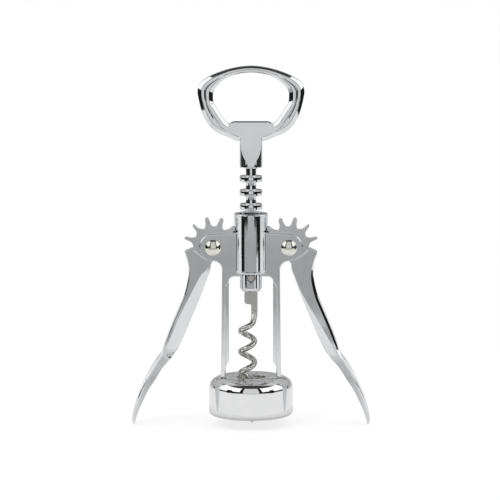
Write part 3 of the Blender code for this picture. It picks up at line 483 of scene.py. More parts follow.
def new_object(name, builder):
    """Makes an object from a bmesh, with its faces pointing out."""
    bmesh.ops.recalc_face_normals(builder, faces=builder.faces)
    mesh = bpy.data.meshes.new(name)
    builder.to_mesh(mesh)
    builder.free()
    piece = bpy.data.objects.new(name, mesh)
    bpy.context.scene.collection.objects.link(piece)
    return piece


def turned(name, profile, steps=TURN_STEPS, closed=False):
    """A surface turned about Z from (radius, height) points; a point on the axis becomes a pole."""
    builder = bmesh.new()
    rings = []
    for radius, height in profile:
        if radius < WELD_DISTANCE:
            rings.append([builder.verts.new((0, 0, height))])
        else:
            angles = [2 * pi * i / steps for i in range(steps)]
            rings.append([builder.verts.new((radius * cos(a), radius * sin(a), height)) for a in angles])
    pairs = list(zip(rings, rings[1:]))
    if closed:
        pairs.append((rings[-1], rings[0]))
    for upper, lower in pairs:
        for i in range(steps):
            j = (i + 1) % steps
            corners = [ring[k % len(ring)] for ring, k in ((upper, i), (upper, j), (lower, j), (lower, i))]
            unique = list(dict.fromkeys(corners))
            if len(unique) > 2:
                builder.faces.new(unique)
    return new_object(name, builder)


def plate(name, outline, half_depth, rounding=0.0, side_on=False):
    """A flat plate from an (x, z) outline, extruded along Y, or from (y, z) along X when side on."""
    builder = bmesh.new()
    near = [(-half_depth, out, z) if side_on else (out, -half_depth, z) for out, z in outline]
    face = builder.faces.new([builder.verts.new(place) for place in near])
    made = bmesh.ops.extrude_face_region(builder, geom=[face])["geom"]
    far = [part for part in made if isinstance(part, bmesh.types.BMVert)]
    thickness = 2 * half_depth
    bmesh.ops.translate(builder, verts=far, vec=(thickness, 0, 0) if side_on else (0, thickness, 0))
    bmesh.ops.recalc_face_normals(builder, faces=builder.faces)
    if rounding:
        caps = [f for f in builder.faces if len(f.verts) == len(outline)]
        rim = list({edge for cap in caps for edge in cap.edges})
        bmesh.ops.bevel(builder, geom=rim, offset=rounding, segments=EDGE_SEGMENTS, profile=EDGE_PROFILE,
                        affect="EDGES", clamp_overlap=True)
    return new_object(name, builder)


def loft(name, sections, closed=False):
    """Skins a row of sections that have the same number of points; an open loft gets end caps."""
    builder = bmesh.new()
    rings = [[builder.verts.new(point) for point in section] for section in sections]
    pairs = list(zip(rings, rings[1:]))
    if closed:
        pairs.append((rings[-1], rings[0]))
    else:
        builder.faces.new(rings[0])
        builder.faces.new(rings[-1])
    for lower, upper in pairs:
        for i in range(len(lower)):
            j = (i + 1) % len(lower)
            builder.faces.new((lower[i], lower[j], upper[j], upper[i]))
    return new_object(name, builder)


def block(name, centre_x, half_width, half_depth, bottom, top):
    """A block about a place on the X axis, from one height to another."""
    builder = bmesh.new()
    place = Matrix.Translation((centre_x, 0, (bottom + top) / 2))
    size = Matrix.Diagonal((2 * half_width, 2 * half_depth, top - bottom, 1))
    bmesh.ops.create_cube(builder, size=1, matrix=place @ size)
    return new_object(name, builder)


def laid_along_y(piece, centre, angle=pi / 2):
    """Tips a turned piece over, from Z onto Y, and sets it at its centre."""
    piece.data.transform(Matrix.Translation(centre) @ Matrix.Rotation(angle, 4, "X"))
    return piece


def cross_cylinder(name, radius, half_length, centre, steps=SMALL_TURN_STEPS):
    """A cylinder along Y."""
    profile = [(0, half_length), (radius, half_length), (radius, -half_length), (0, -half_length)]
    return laid_along_y(turned(name, profile, steps), centre)


def carve(piece, operation, tool):
    """Joins, cuts or intersects a piece with a tool, and removes the tool."""
    modifier = piece.modifiers.new(tool.name, "BOOLEAN")
    modifier.operation = operation
    modifier.solver = "EXACT"
    modifier.object = tool
    bpy.context.view_layer.update()
    evaluated = piece.evaluated_get(bpy.context.evaluated_depsgraph_get())
    mesh = bpy.data.meshes.new_from_object(evaluated)
    piece.modifiers.clear()
    piece.data = mesh
    bpy.data.objects.remove(tool, do_unlink=True)


def smooth(piece):
    """Welds a piece and shades it smooth up to its edges, with flat faces kept flat."""
    builder = bmesh.new()
    builder.from_mesh(piece.data)
    bmesh.ops.remove_doubles(builder, verts=builder.verts, dist=WELD_DISTANCE)
    builder.to_mesh(piece.data)
    builder.free()
    piece.data.shade_smooth()
    piece.data.set_sharp_from_angle(angle=SMOOTH_ANGLE)
    weighted = piece.modifiers.new("flat_faces_stay_flat", "WEIGHTED_NORMAL")
    weighted.keep_sharp = True


def dress(piece, node, material):
    """Gives a piece its material and seats it on its node's body, in the node's place."""
    smooth(piece)
    piece.name = f"{node}_fine"
    piece.data.name = piece.name
    piece.data.materials.append(material)
    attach(piece, BODY_OF[node])
    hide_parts(node)


# Rack

def make_rack():
    """Core and rings in one turning, with rounded rings and filleted roots."""
    half = RACK_RING_WIDTH / 2
    top = NECK_BOTTOM + SPIGOT_DEPTH_IN_NECK
    foot = FERRULE_TOP - SPIGOT_DEPTH_IN_FERRULE
    corners = [((0, top), 0), ((RACK_CORE_RADIUS, top), 0)]
    for index in range(TOP_RING, -2, -1):
        centre = ring_centre(index)
        corners += [((RACK_CORE_RADIUS, centre + half), RACK_ROOT_FILLET),
                    ((RACK_RING_RADIUS, centre + half), RACK_RING_ROUNDING),
                    ((RACK_RING_RADIUS, centre - half), RACK_RING_ROUNDING),
                    ((RACK_CORE_RADIUS, centre - half), RACK_ROOT_FILLET)]
    corners += [((RACK_CORE_RADIUS, foot), 0), ((0, foot), 0)]
    return turned("rack_fine", rounded(corners, SECTION_ARC_STEPS))


# Frame

def barrel_profile():
    lip = BARREL_RADIUS + BARREL_LIP_PROUD
    lip_top = BARREL_BOTTOM + BARREL_LIP_HEIGHT
    rim = BARREL_RIM_ROUNDING
    corners = [((0, BARREL_TOP), 0), ((BARREL_RADIUS, BARREL_TOP), rim),
               ((BARREL_RADIUS, lip_top + BARREL_LIP_PROUD), BARREL_LIP_PROUD),
               ((lip, lip_top), BARREL_LIP_PROUD), ((lip, BARREL_BOTTOM), rim), ((0, BARREL_BOTTOM), 0)]
    return rounded(corners, SECTION_ARC_STEPS)


def wing_outline():
    """Left wing plate and its leg's flange, seen from the front: out from the barrel, down and back in."""
    top = PIVOT_HEIGHT + PLATE_END_RADIUS
    fillet = PIVOT_OFFSET - LEG_REACH_TOP
    outline = [(-BARREL_BORE_RADIUS, top + PLATE_TOP_RISE)]
    outline += arc((-PIVOT_OFFSET, PIVOT_HEIGHT), PLATE_END_RADIUS, pi / 2, 3 * pi / 2, 3 * ARC_STEPS)
    fillet_centre = (-PIVOT_OFFSET, PIVOT_HEIGHT - PLATE_END_RADIUS - fillet)
    outline += arc(fillet_centre, fillet, pi / 2, 0, ARC_STEPS)[1:]
    foot = BELL_TOP + FIT_GAP
    spring = BARREL_BOTTOM - ARCH_DROP - ARCH_CORNER_RADIUS
    web_edge = LEG_WEB_WIDTH - LEG_INNER_TOP
    outline += [(-LEG_REACH_FOOT, foot), (-LEG_INNER_FOOT, foot), (-LEG_INNER_TOP, spring - LEG_WEB_RUNOUT),
                (web_edge, spring)]
    corner = (web_edge + ARCH_CORNER_RADIUS, spring)
    return outline + arc(corner, ARCH_CORNER_RADIUS, pi, pi / 2, ARC_STEPS)[1:]


def web_outline():
    """Recessed inner web of the left leg, from the arch down to where it runs out above the bell."""
    top = BARREL_BOTTOM - ARCH_DROP - ARCH_CORNER_RADIUS + CUT_OVERRUN
    foot = BELL_TOP + LEG_WEB_STOP_ABOVE_BELL
    root = LEG_FLANGE_WIDTH_TOP / 2
    return [(-LEG_INNER_TOP - root, top), (-LEG_INNER_FOOT - root, foot - 2 * LEG_WEB_RUNOUT),
            (LEG_WEB_WIDTH - LEG_INNER_FOOT, foot), (LEG_WEB_WIDTH - LEG_INNER_TOP, top)]


def pivot_place(sign):
    return (sign * PIVOT_OFFSET, 0, PIVOT_HEIGHT)


def make_frame():
    """Barrel, wing plates and legs joined, then bored, slotted for the gears and drilled for the rivets."""
    piece = turned("frame_blank", barrel_profile())
    left_wing = wing_outline()
    wings = plate("wings", left_wing + mirrored(left_wing), FRAME_HALF_DEPTH, PLATE_EDGE_ROUNDING)
    carve(piece, "UNION", wings)
    for outline in (web_outline(), mirrored(web_outline())):
        carve(piece, "UNION", plate("web", outline, LEG_WEB_THICKNESS / 2, EDGE_ROUNDING))
    high = BARREL_TOP + CUT_OVERRUN
    low = BARREL_BOTTOM - ARCH_DROP - CUT_OVERRUN
    chamfer = BARREL_RIM_ROUNDING / 2
    mouth = BARREL_BORE_RADIUS + chamfer
    bore = [(0, high), (mouth, high), (mouth, BARREL_TOP), (BARREL_BORE_RADIUS, BARREL_TOP - chamfer),
            (BARREL_BORE_RADIUS, low), (0, low)]
    carve(piece, "DIFFERENCE", turned("bore", bore))
    slot_radius = GEAR_TIP_RADIUS + GEAR_SLOT_CLEARANCE
    hole_depth = FRAME_HALF_DEPTH + CUT_OVERRUN
    for sign in SIDES.values():
        tenon = block("tenon", sign * TENON_CENTRE, TENON_WIDTH / 2, TENON_DEPTH / 2,
                      BELL_CEILING + FIT_GAP, BELL_TOP + CUT_OVERRUN)
        carve(piece, "UNION", tenon)
        pivot = pivot_place(sign)
        carve(piece, "DIFFERENCE", cross_cylinder("slot", slot_radius, GEAR_GAP / 2, pivot, TURN_STEPS))
        carve(piece, "DIFFERENCE", cross_cylinder("hole", RIVET_HOLE_RADIUS, hole_depth, pivot))
    return piece


# Levers

def tooth_points(direction, shares):
    """One tooth of the lever's gear, anticlockwise, about an axis that points in the given direction."""
    height = GEAR_TIP_RADIUS - GEAR_ROOT_RADIUS
    rows = [(GEAR_ROOT_RADIUS + height * up, TOOTH_ROOT_WIDTH / 2 * wide)
            for up, wide in smooth_rows(shares, TOOTH_SAMPLES)]
    points = [(reach, -half) for reach, half in rows] + [(reach, half) for reach, half in reversed(rows)]
    out = Vector((cos(direction), sin(direction)))
    aside = Vector((-sin(direction), cos(direction)))
    return [reach * out + across * aside for reach, across in points]


def gear_outline():
    """Toothed sector about the pivot, with a plain hub where the arm leaves it. +X faces the rack."""
    outline = []
    start = (TOOTH_PHASE_SHARE - 1) * TOOTH_ANGLE
    for tooth in range(TEETH_ON_LEVER):
        direction = start + tooth * TOOTH_ANGLE
        shares = THIN_TOOTH_SHARES if tooth >= THIN_TEETH_FROM else TOOTH_SHARES
        outline += tooth_points(direction, shares)
        if tooth < TEETH_ON_LEVER - 1:
            valley = direction + TOOTH_ANGLE / 2
            outline.append((GEAR_ROOT_RADIUS * cos(valley), GEAR_ROOT_RADIUS * sin(valley)))
    end = start + (TEETH_ON_LEVER - 1) * TOOTH_ANGLE
    outline += arc((0, 0), GEAR_ROOT_RADIUS, end + TOOTH_ANGLE / 2, GEAR_SECTOR_END, 2 * ARC_STEPS)
    outline += arc((0, 0), GEAR_HUB_RADIUS, GEAR_HUB_START, start + 2 * pi - TOOTH_ANGLE, ARC_STEPS)
    heel = start - GEAR_HEEL_SHARE * TOOTH_ANGLE
    outline += arc((0, 0), GEAR_ROOT_RADIUS, heel, start - TOOTH_ANGLE / 2, 2)
    return outline


def arm_section(row):
    """Rounded section of the left arm: outer face, cut edges, flat sides and bevelled inner face."""
    out_x, out_z, in_x, in_z, outer_share, front_inner, front_knee, back_inner, back_knee, back_cut = row
    outer = Vector((-out_x * LEVER_SPREAD, 0, -out_z * LEVER_DROP))
    inner = Vector((-in_x * LEVER_SPREAD, 0, -in_z * LEVER_DROP))
    across = (inner - outer).length
    half_width = LEVER_PADDLE_WIDTH / 2
    half_outer = outer_share * half_width
    sides = []
    for knee, cut, inner_share in ((front_knee, LEVER_FRONT_CUT, front_inner),
                                   (back_knee, back_cut * half_width, back_inner)):
        sides.append([(0, half_outer - cut * LEVER_CUT_SLOPE, LEVER_EDGE_ROUNDING),
                      (cut / across, half_outer, LEVER_KNEE_ROUNDING),
                      (knee, half_outer, LEVER_KNEE_ROUNDING),
                      (1, inner_share * half_width, LEVER_EDGE_ROUNDING)])
    loop = [(place, -half, bend) for place, half, bend in sides[0]]
    loop += [(place, half, bend) for place, half, bend in reversed(sides[1])]
    corners = [(outer.lerp(inner, place) + Vector((0, half, 0)), bend) for place, half, bend in loop]
    return rounded(corners, SECTION_ARC_STEPS)


def shoulder_cutter_outline():
    """Room that the arm's thick part leaves for the frame's plates when the lever is raised."""
    reach = PLATE_END_RADIUS + LEVER_PLATE_CLEARANCE
    normal = 3 * pi / 2 - LEVER_SHOULDER_ANGLE
    far = 2 * GEAR_TIP_RADIUS
    foot = Vector((reach * cos(normal), reach * sin(normal)))
    along = Vector((cos(normal - pi / 2), sin(normal - pi / 2)))
    outline = [foot + far * along]
    outline += arc((0, 0), reach, normal, 2 * pi + LEVER_SHOULDER_ARC_END, 3 * ARC_STEPS)
    return outline + [(far, far), (-far, far)]


def make_lever(sign):
    """The left lever about its pivot, turned round for the right side and set on its rivet."""
    arm = loft("arm", [arm_section(row) for row in smooth_rows(ARM_SHARES, ARM_SAMPLES)])
    carve(arm, "DIFFERENCE", plate("shoulder", shoulder_cutter_outline(), LEVER_PADDLE_WIDTH))
    carve(arm, "UNION", plate("gear", gear_outline(), GEAR_THICKNESS / 2, GEAR_EDGE_ROUNDING))
    carve(arm, "DIFFERENCE", cross_cylinder("bore", RIVET_HOLE_RADIUS, GEAR_THICKNESS, (0, 0, 0)))
    turn = Matrix.Rotation(pi, 4, "Z") if sign > 0 else Matrix.Identity(4)
    arm.data.transform(Matrix.Translation(pivot_place(sign)) @ turn)
    return arm


# Rivets

def make_rivet(sign):
    """Domed head, shank and domed head, turned about its own length and laid along Y."""
    seat = FRAME_HALF_DEPTH + FIT_GAP
    crown = RIVET_HEAD_HEIGHT - RIVET_HEAD_EDGE
    dome_radius = (RIVET_HEAD_RADIUS ** 2 + crown ** 2) / (2 * crown)
    half_angle = asin(RIVET_HEAD_RADIUS / dome_radius)
    centre = seat + RIVET_HEAD_HEIGHT - dome_radius
    upper = arc((0, centre), dome_radius, pi / 2, pi / 2 - half_angle, ARC_STEPS)
    upper += [(RIVET_HEAD_RADIUS, seat), (RIVET_SHANK_RADIUS, seat)]
    profile = upper + [(radius, -height) for radius, height in reversed(upper)]
    return laid_along_y(turned("rivet", profile, SMALL_TURN_STEPS), pivot_place(sign))


# Bell and guide ring

def make_bell():
    """Cup turned from one wall section, with a round hole for the worm and two for the legs' tenons."""
    inside = BELL_RADIUS - BELL_WALL
    corners = [((BELL_WORM_HOLE_RADIUS, BELL_TOP), BELL_HOLE_ROUNDING),
               ((BELL_RADIUS, BELL_TOP), BELL_SHOULDER_RADIUS),
               ((BELL_RADIUS, BELL_RIM_HEIGHT), BELL_RIM_ROUNDING),
               ((inside, BELL_RIM_HEIGHT), BELL_INNER_ROUNDING),
               ((inside, BELL_CEILING), BELL_INNER_ROUNDING),
               ((BELL_WORM_HOLE_RADIUS, BELL_CEILING), BELL_HOLE_ROUNDING / 2)]
    piece = turned("bell_blank", rounded(corners), closed=True)
    for sign in SIDES.values():
        hole = block("tenon_hole", sign * TENON_CENTRE, TENON_WIDTH / 2 + FIT_GAP, TENON_DEPTH / 2 + FIT_GAP,
                     BELL_CEILING - CUT_OVERRUN, BELL_TOP + CUT_OVERRUN)
        carve(piece, "DIFFERENCE", hole)
    return piece


def make_guide_ring():
    """Collar round the bottle's mouth, with a chamfered entry and the seat that the glass meets."""
    outer = BELL_RADIUS - BELL_WALL - FIT_GAP
    inner = outer - GUIDE_WALL
    top = BELL_CEILING - FIT_GAP
    seat = top - GUIDE_SEAT_THICKNESS
    bottom = BELL_RIM_HEIGHT + GUIDE_RECESS
    edge = EDGE_ROUNDING
    corners = [((GUIDE_HOLE_RADIUS, top), edge), ((outer, top), edge), ((outer, bottom), edge),
               ((inner + GUIDE_MOUTH_CHAMFER, bottom), edge), ((inner, bottom + GUIDE_MOUTH_CHAMFER), edge),
               ((inner, seat), edge), ((GUIDE_HOLE_RADIUS, seat), edge)]
    return turned("guide", rounded(corners, SECTION_ARC_STEPS), closed=True)


# Ferrule, pin and worm

def dimple_cutter():
    """Flat-bottomed cone that widens from the dimple's floor out through the ferrule's wall."""
    slope = (FERRULE_DIMPLE_RADIUS - FERRULE_DIMPLE_FLOOR_RADIUS) / FERRULE_DIMPLE_DEPTH
    mouth = FERRULE_DIMPLE_RADIUS + slope * CUT_OVERRUN
    outside = FERRULE_RADIUS + CUT_OVERRUN
    floor = FERRULE_RADIUS - FERRULE_DIMPLE_DEPTH
    profile = [(0, floor), (FERRULE_DIMPLE_FLOOR_RADIUS, floor), (mouth, outside), (0, outside)]
    return turned("dimple", profile, SMALL_TURN_STEPS)


def make_ferrule():
    """Socket for the rack's end above and for the tang below, drilled and dimpled for the pin."""
    floor = FERRULE_TOP - SPIGOT_DEPTH_IN_FERRULE - FIT_GAP
    corners = [((0, floor), 0), ((SPIGOT_HOLE_RADIUS, floor), 0), ((SPIGOT_HOLE_RADIUS, FERRULE_TOP), 0),
               ((FERRULE_RADIUS, FERRULE_TOP), FERRULE_TOP_CHAMFER),
               ((FERRULE_RADIUS, FERRULE_BOTTOM), FERRULE_BOTTOM_ROUNDING), ((0, FERRULE_BOTTOM), 0)]
    piece = turned("ferrule", rounded(corners))
    slot = block("tang_slot", 0, TANG_WIDTH / 2 + FIT_GAP, TANG_THICKNESS / 2 + FIT_GAP,
                 FERRULE_BOTTOM - CUT_OVERRUN, TANG_TOP + FIT_GAP)
    carve(piece, "DIFFERENCE", slot)
    hole = cross_cylinder("pin_hole", PIN_HOLE_RADIUS, FERRULE_RADIUS + CUT_OVERRUN, PIN_PLACE)
    carve(piece, "DIFFERENCE", hole)
    for angle in (pi / 2, -pi / 2):
        carve(piece, "DIFFERENCE", laid_along_y(dimple_cutter(), PIN_PLACE, angle))
    return piece


def make_pin():
    end = FERRULE_RADIUS - FIT_GAP
    corners = [((0, end), 0), ((PIN_RADIUS, end), PIN_END_ROUNDING), ((PIN_RADIUS, -end), PIN_END_ROUNDING),
               ((0, -end), 0)]
    profile = rounded(corners, SECTION_ARC_STEPS)
    return laid_along_y(turned("pin", profile, SMALL_TURN_STEPS), PIN_PLACE)


def tang_outline():
    """Flat tang: a wide block with a rounded lower corner and the narrow strip beside it."""
    half = TANG_WIDTH / 2
    strip_left = STRIP_CENTRE - STRIP_HALF_WIDTH
    corners = [((half, TANG_TOP), 0), ((-half, TANG_TOP), 0), ((-half, TANG_BOTTOM), TANG_STEP_RADIUS),
               ((strip_left, TANG_BOTTOM), TANG_STEP_RADIUS / 2), ((strip_left, STRIP_FOOT), 0),
               ((half, STRIP_FOOT), 0)]
    return rounded(corners, ARC_STEPS // 2)


def worm_path():
    """Centre line of the wire with its radius: a steep lead out of the strip, then a right-hand helix."""
    axis_x = STRIP_CENTRE - WORM_COIL_RADIUS
    coil_top = STRIP_FOOT - WORM_LEAD_RISE + WORM_WIRE_RADIUS / 2
    turns = (coil_top - WORM_TIP_HEIGHT) / WORM_PITCH
    steps = round(turns * WORM_POINTS_PER_TURN)
    path = [(Vector((STRIP_CENTRE, 0, STRIP_FOOT + WORM_WIRE_RADIUS)), WORM_WIRE_RADIUS)]
    for step in range(steps + 1):
        turn = turns * step / steps
        angle = 2 * pi * turn
        lead = max(0, 1 - turn / WORM_LEAD_TURNS)
        height = coil_top - WORM_PITCH * turn + WORM_LEAD_RISE * lead ** 2
        taper = min(1, (turns - turn) / WORM_TAPER_TURNS)
        radius = WORM_TIP_RADIUS + (WORM_WIRE_RADIUS - WORM_TIP_RADIUS) * sqrt(taper)
        place = Vector((axis_x + WORM_COIL_RADIUS * cos(angle), -WORM_COIL_RADIUS * sin(angle), height))
        path.append((place, radius))
    return path


def wire(name, path, sides):
    """A round wire along a path of (point, radius), with its rings square to the path."""
    sections = []
    for i, (point, radius) in enumerate(path):
        along = (path[min(i + 1, len(path) - 1)][0] - path[max(i - 1, 0)][0]).normalized()
        across = along.cross(Vector((0, 1, 0))).normalized()
        up = across.cross(along)
        angles = [2 * pi * side / sides for side in range(sides)]
        sections.append([point + radius * (cos(a) * across + sin(a) * up) for a in angles])
    return loft(name, sections)


def make_worm():
    """Tang and wire in one piece, drilled for the pin."""
    piece = plate("tang", tang_outline(), TANG_THICKNESS / 2, TANG_EDGE_ROUNDING)
    carve(piece, "UNION", wire("wire", worm_path(), WORM_WIRE_SIDES))
    carve(piece, "DIFFERENCE", cross_cylinder("tang_hole", PIN_HOLE_RADIUS, TANG_THICKNESS, PIN_PLACE))
    return piece


# Handle

def ring_section(row):
    """Rounded section of the handle ring, from its outer edge over the front and back again."""
    points = zip(row[::2], row[1::2])
    places = [Vector((-out * RING_HALF_WIDTH, 0, NECK_TOP + up * RING_RISE)) for out, up in points]
    outer, outer_bevel, inner_bevel, inner = places
    groove = [outer_bevel.lerp(inner_bevel, RING_GROOVE_PLACE_SHARE + shift * RING_GROOVE_HALF_WIDTH_SHARE)
              for shift in (-1, 0, 1)]
    band = RING_BAND_THICKNESS
    front = [(outer, RING_EDGE_THICKNESS, RING_EDGE_ROUNDING), (outer_bevel, band, RING_BEVEL_ROUNDING),
             (groove[0], band, RING_GROOVE_ROUNDING),
             (groove[1], band - 2 * RING_GROOVE_DEPTH, RING_GROOVE_ROUNDING),
             (groove[2], band, RING_GROOVE_ROUNDING),
             (inner_bevel, band, RING_BEVEL_ROUNDING), (inner, RING_EDGE_THICKNESS, RING_EDGE_ROUNDING)]
    loop = [(place + Vector((0, -depth / 2, 0)), bend) for place, depth, bend in front]
    loop += [(place + Vector((0, depth / 2, 0)), bend) for place, depth, bend in reversed(front)]
    return rounded(loop, SECTION_ARC_STEPS)


def make_handle():
    """Round neck cut to a wedge, the ring swept round from it and the cap-lifter plate across both."""
    roof = NECK_BOTTOM + SPIGOT_DEPTH_IN_NECK + FIT_GAP
    top = NECK_TOP + CUT_OVERRUN
    corners = [((0, top), 0), ((NECK_RADIUS, top), 0), ((NECK_RADIUS, NECK_BOTTOM), NECK_BOTTOM_ROUNDING),
               ((SPIGOT_HOLE_RADIUS, NECK_BOTTOM), 0), ((SPIGOT_HOLE_RADIUS, roof), 0), ((0, roof), 0)]
    piece = turned("handle_blank", rounded(corners, SECTION_ARC_STEPS))
    rows = smooth_rows(NECK_WEDGE_SHARES, SECTION_ARC_STEPS)
    back = [(share * NECK_RADIUS, NECK_BOTTOM + up * NECK_LENGTH) for up, share in rows]
    carve(piece, "INTERSECT", plate("wedge", back + mirrored(back), 2 * NECK_RADIUS, side_on=True))
    right_rows = [tuple(-v if i % 2 == 0 else v for i, v in enumerate(row)) for row in RING_SHARES[:0:-1]]
    rows = smooth_rows([*RING_SHARES, *right_rows], RING_SAMPLES, closed=True)
    carve(piece, "UNION", loft("ring", [ring_section(row) for row in rows], closed=True))
    left = [(-x * RING_HALF_WIDTH, NECK_TOP + z * LIFTER_TOP_RISE) for x, z in LIFTER_SHARES]
    soft = rounded([(point, LIFTER_CORNER_ROUNDING) for point in left + mirrored(left)], SECTION_ARC_STEPS)
    carve(piece, "UNION", plate("lifter", soft, HANDLE_PLATE_THICKNESS / 2, LIFTER_EDGE_ROUNDING))
    return piece


# Materials

def add(tree, kind, inputs=None, **settings):
    """Adds a node; an input takes a number, a colour or another node's output."""
    node = tree.nodes.new(kind)
    for name, value in settings.items():
        setattr(node, name, value)
    for name, value in (inputs or {}).items():
        if isinstance(value, bpy.types.NodeSocket):
            tree.links.new(value, node.inputs[name])
        else:
            node.inputs[name].default_value = value
    return node


def object_place(tree):
    return add(tree, "ShaderNodeTexCoord").outputs["Object"]


def height_of(tree, place):
    return add(tree, "ShaderNodeSeparateXYZ", {"Vector": place}).outputs["Z"]


def noise(tree, pattern, stretch=None):
    """A noise from 0 to 1 of (cells to the metre, detail), stretched where wanted."""
    cells, detail = pattern
    place = object_place(tree)
    if stretch:
        place = add(tree, "ShaderNodeMapping", {"Vector": place, "Scale": stretch}).outputs["Vector"]
    return add(tree, "ShaderNodeTexNoise", {"Vector": place, "Scale": cells, "Detail": detail}).outputs["Fac"]


def ranged(tree, value, low, high, start=0.0, end=1.0):
    """Maps a value that runs from start to end onto low to high."""
    inputs = {"Value": value, "From Min": start, "From Max": end, "To Min": low, "To Max": high}
    return add(tree, "ShaderNodeMapRange", inputs).outputs["Result"]


def spread(tree, pattern, low, high, middle=NOISE_MIDDLE):
    """Maps the middle of a noise onto a range."""
    return ranged(tree, noise(tree, pattern), low, high, *middle)


def calculated(tree, operation, first, second):
    return add(tree, "ShaderNodeMath", {0: first, 1: second}, operation=operation).outputs["Value"]


def mix_colour(tree, share, first, second):
    node = add(tree, "ShaderNodeMix", {"Factor": share}, data_type="RGBA")
    node.inputs["A"].default_value = (*first, 1)
    node.inputs["B"].default_value = (*second, 1)
    return node.outputs["Result"]


def bump(tree, layers):
    """Stacks bump layers of (height, depth in metres)."""
    normal = None
    for height, depth in layers:
        inputs = {"Height": height, "Distance": depth, "Strength": 1.0}
        if normal:
            inputs["Normal"] = normal
        normal = add(tree, "ShaderNodeBump", inputs).outputs["Normal"]
    return normal


def new_material(name, metallic, preview):
    material = bpy.data.materials.new(name)
    material.use_nodes = True
    material.diffuse_color = (*preview, 1)
    material.node_tree.nodes["Principled BSDF"].inputs["Metallic"].default_value = metallic
    return material, material.node_tree


def link_look(tree, colour, roughness, layers):
    """Links a colour, a roughness and bump layers to a material's shader."""
    inputs = tree.nodes["Principled BSDF"].inputs
    tree.links.new(colour, inputs["Base Color"])
    tree.links.new(roughness, inputs["Roughness"])
    tree.links.new(bump(tree, layers), inputs["Normal"])


def polished_metal(name, colours, roughness, swell, grain, lines, waves=None):
    """Plated metal: a faint cloudiness, polishing haze, a slight swell and fine lines along the polish.
    Waves, where wanted, are (height where they start, height of their full depth, depth)."""
    material, tree = new_material(name, 1.0, colours[0])
    colour = mix_colour(tree, spread(tree, METAL_CLOUD, 0, 1), *colours)
    layers = [(noise(tree, METAL_SWELL), swell), (noise(tree, METAL_LINES, lines), grain)]
    if waves:
        start, end, depth = waves
        mask = ranged(tree, height_of(tree, object_place(tree)), 0, 1, start, end)
        layers.append((calculated(tree, "MULTIPLY", noise(tree, BELL_WAVES), mask), depth))
    link_look(tree, colour, spread(tree, METAL_HAZE, *roughness), layers)
    return material


def worm_steel():
    """Dull steel: smooth and matt on the tang, mottled and dented where the wire is drawn."""
    material, tree = new_material("worm_steel_look", 1.0, WORM_PREVIEW)
    drawn = ranged(tree, height_of(tree, object_place(tree)), TANG_TEXTURE_SHARE, 1, TANG_BOTTOM, STRIP_FOOT)
    mottle = calculated(tree, "MULTIPLY", spread(tree, WORM_MOTTLE, 0, 1, WORM_MOTTLE_MIDDLE), drawn)
    haze = spread(tree, WORM_HAZE, *WORM_ROUGHNESS)
    roughness = ranged(tree, drawn, TANG_ROUGHNESS, haze, TANG_TEXTURE_SHARE)
    dents = calculated(tree, "MULTIPLY", noise(tree, WORM_DENTS), drawn)
    layers = [(dents, WORM_DENT_DEPTH), (noise(tree, WORM_PITS), WORM_PIT_DEPTH)]
    link_look(tree, mix_colour(tree, mottle, *WORM_COLOURS), roughness, layers)
    return material


def white_nylon():
    """Moulded nylon with a faint cloudiness and a fine matt texture."""
    material, tree = new_material("white_nylon_look", 0.0, NYLON_COLOURS[0])
    colour = mix_colour(tree, spread(tree, NYLON_CLOUD, 0, 1), *NYLON_COLOURS)
    roughness = spread(tree, NYLON_HAZE, *NYLON_ROUGHNESS)
    link_look(tree, colour, roughness, [(noise(tree, NYLON_GRAIN), NYLON_GRAIN_DEPTH)])
    return material


# Stage

def glossy_only(card):
    for ray in ("camera", "diffuse", "shadow", "transmission", "volume_scatter"):
        setattr(card, f"visible_{ray}", False)


def emptied_tree(owner):
    """Turns the nodes of a material or world on and clears them."""
    owner.use_nodes = True
    owner.node_tree.nodes.clear()
    return owner.node_tree


def glow(tree, strength):
    return add(tree, "ShaderNodeEmission", {"Color": WHITE, "Strength": strength}).outputs["Emission"]


def card_material(name, near, far, start, end, by_height):
    """A glow graded from one height to another, or from one distance to another."""
    material = bpy.data.materials.new(name)
    tree = emptied_tree(material)
    place = add(tree, "ShaderNodeNewGeometry").outputs["Position"]
    if by_height:
        along = height_of(tree, place)
    else:
        along = add(tree, "ShaderNodeVectorMath", {0: place}, operation="LENGTH").outputs["Value"]
    add(tree, "ShaderNodeOutputMaterial", {"Surface": glow(tree, ranged(tree, along, near, far, start, end))})
    return material


def make_cards():
    for name, (left, right, low_reach, low, high_reach, high, near, far) in CARDS.items():
        builder = bmesh.new()
        angles = [radians(left + (right - left) * step / CARD_STEPS) for step in range(CARD_STEPS + 1)]
        lower, upper = [[builder.verts.new((reach * sin(a), -reach * cos(a), height)) for a in angles]
                        for reach, height in ((low_reach, low), (high_reach, high))]
        for i in range(CARD_STEPS):
            builder.faces.new((lower[i], lower[i + 1], upper[i + 1], upper[i]))
        card = new_object(f"card_{name}", builder)
        upright = low_reach == high_reach
        start, end = (low, high) if upright else (low_reach, high_reach)
        card.data.materials.append(card_material(card.name, near, far, start, end, upright))
        glossy_only(card)


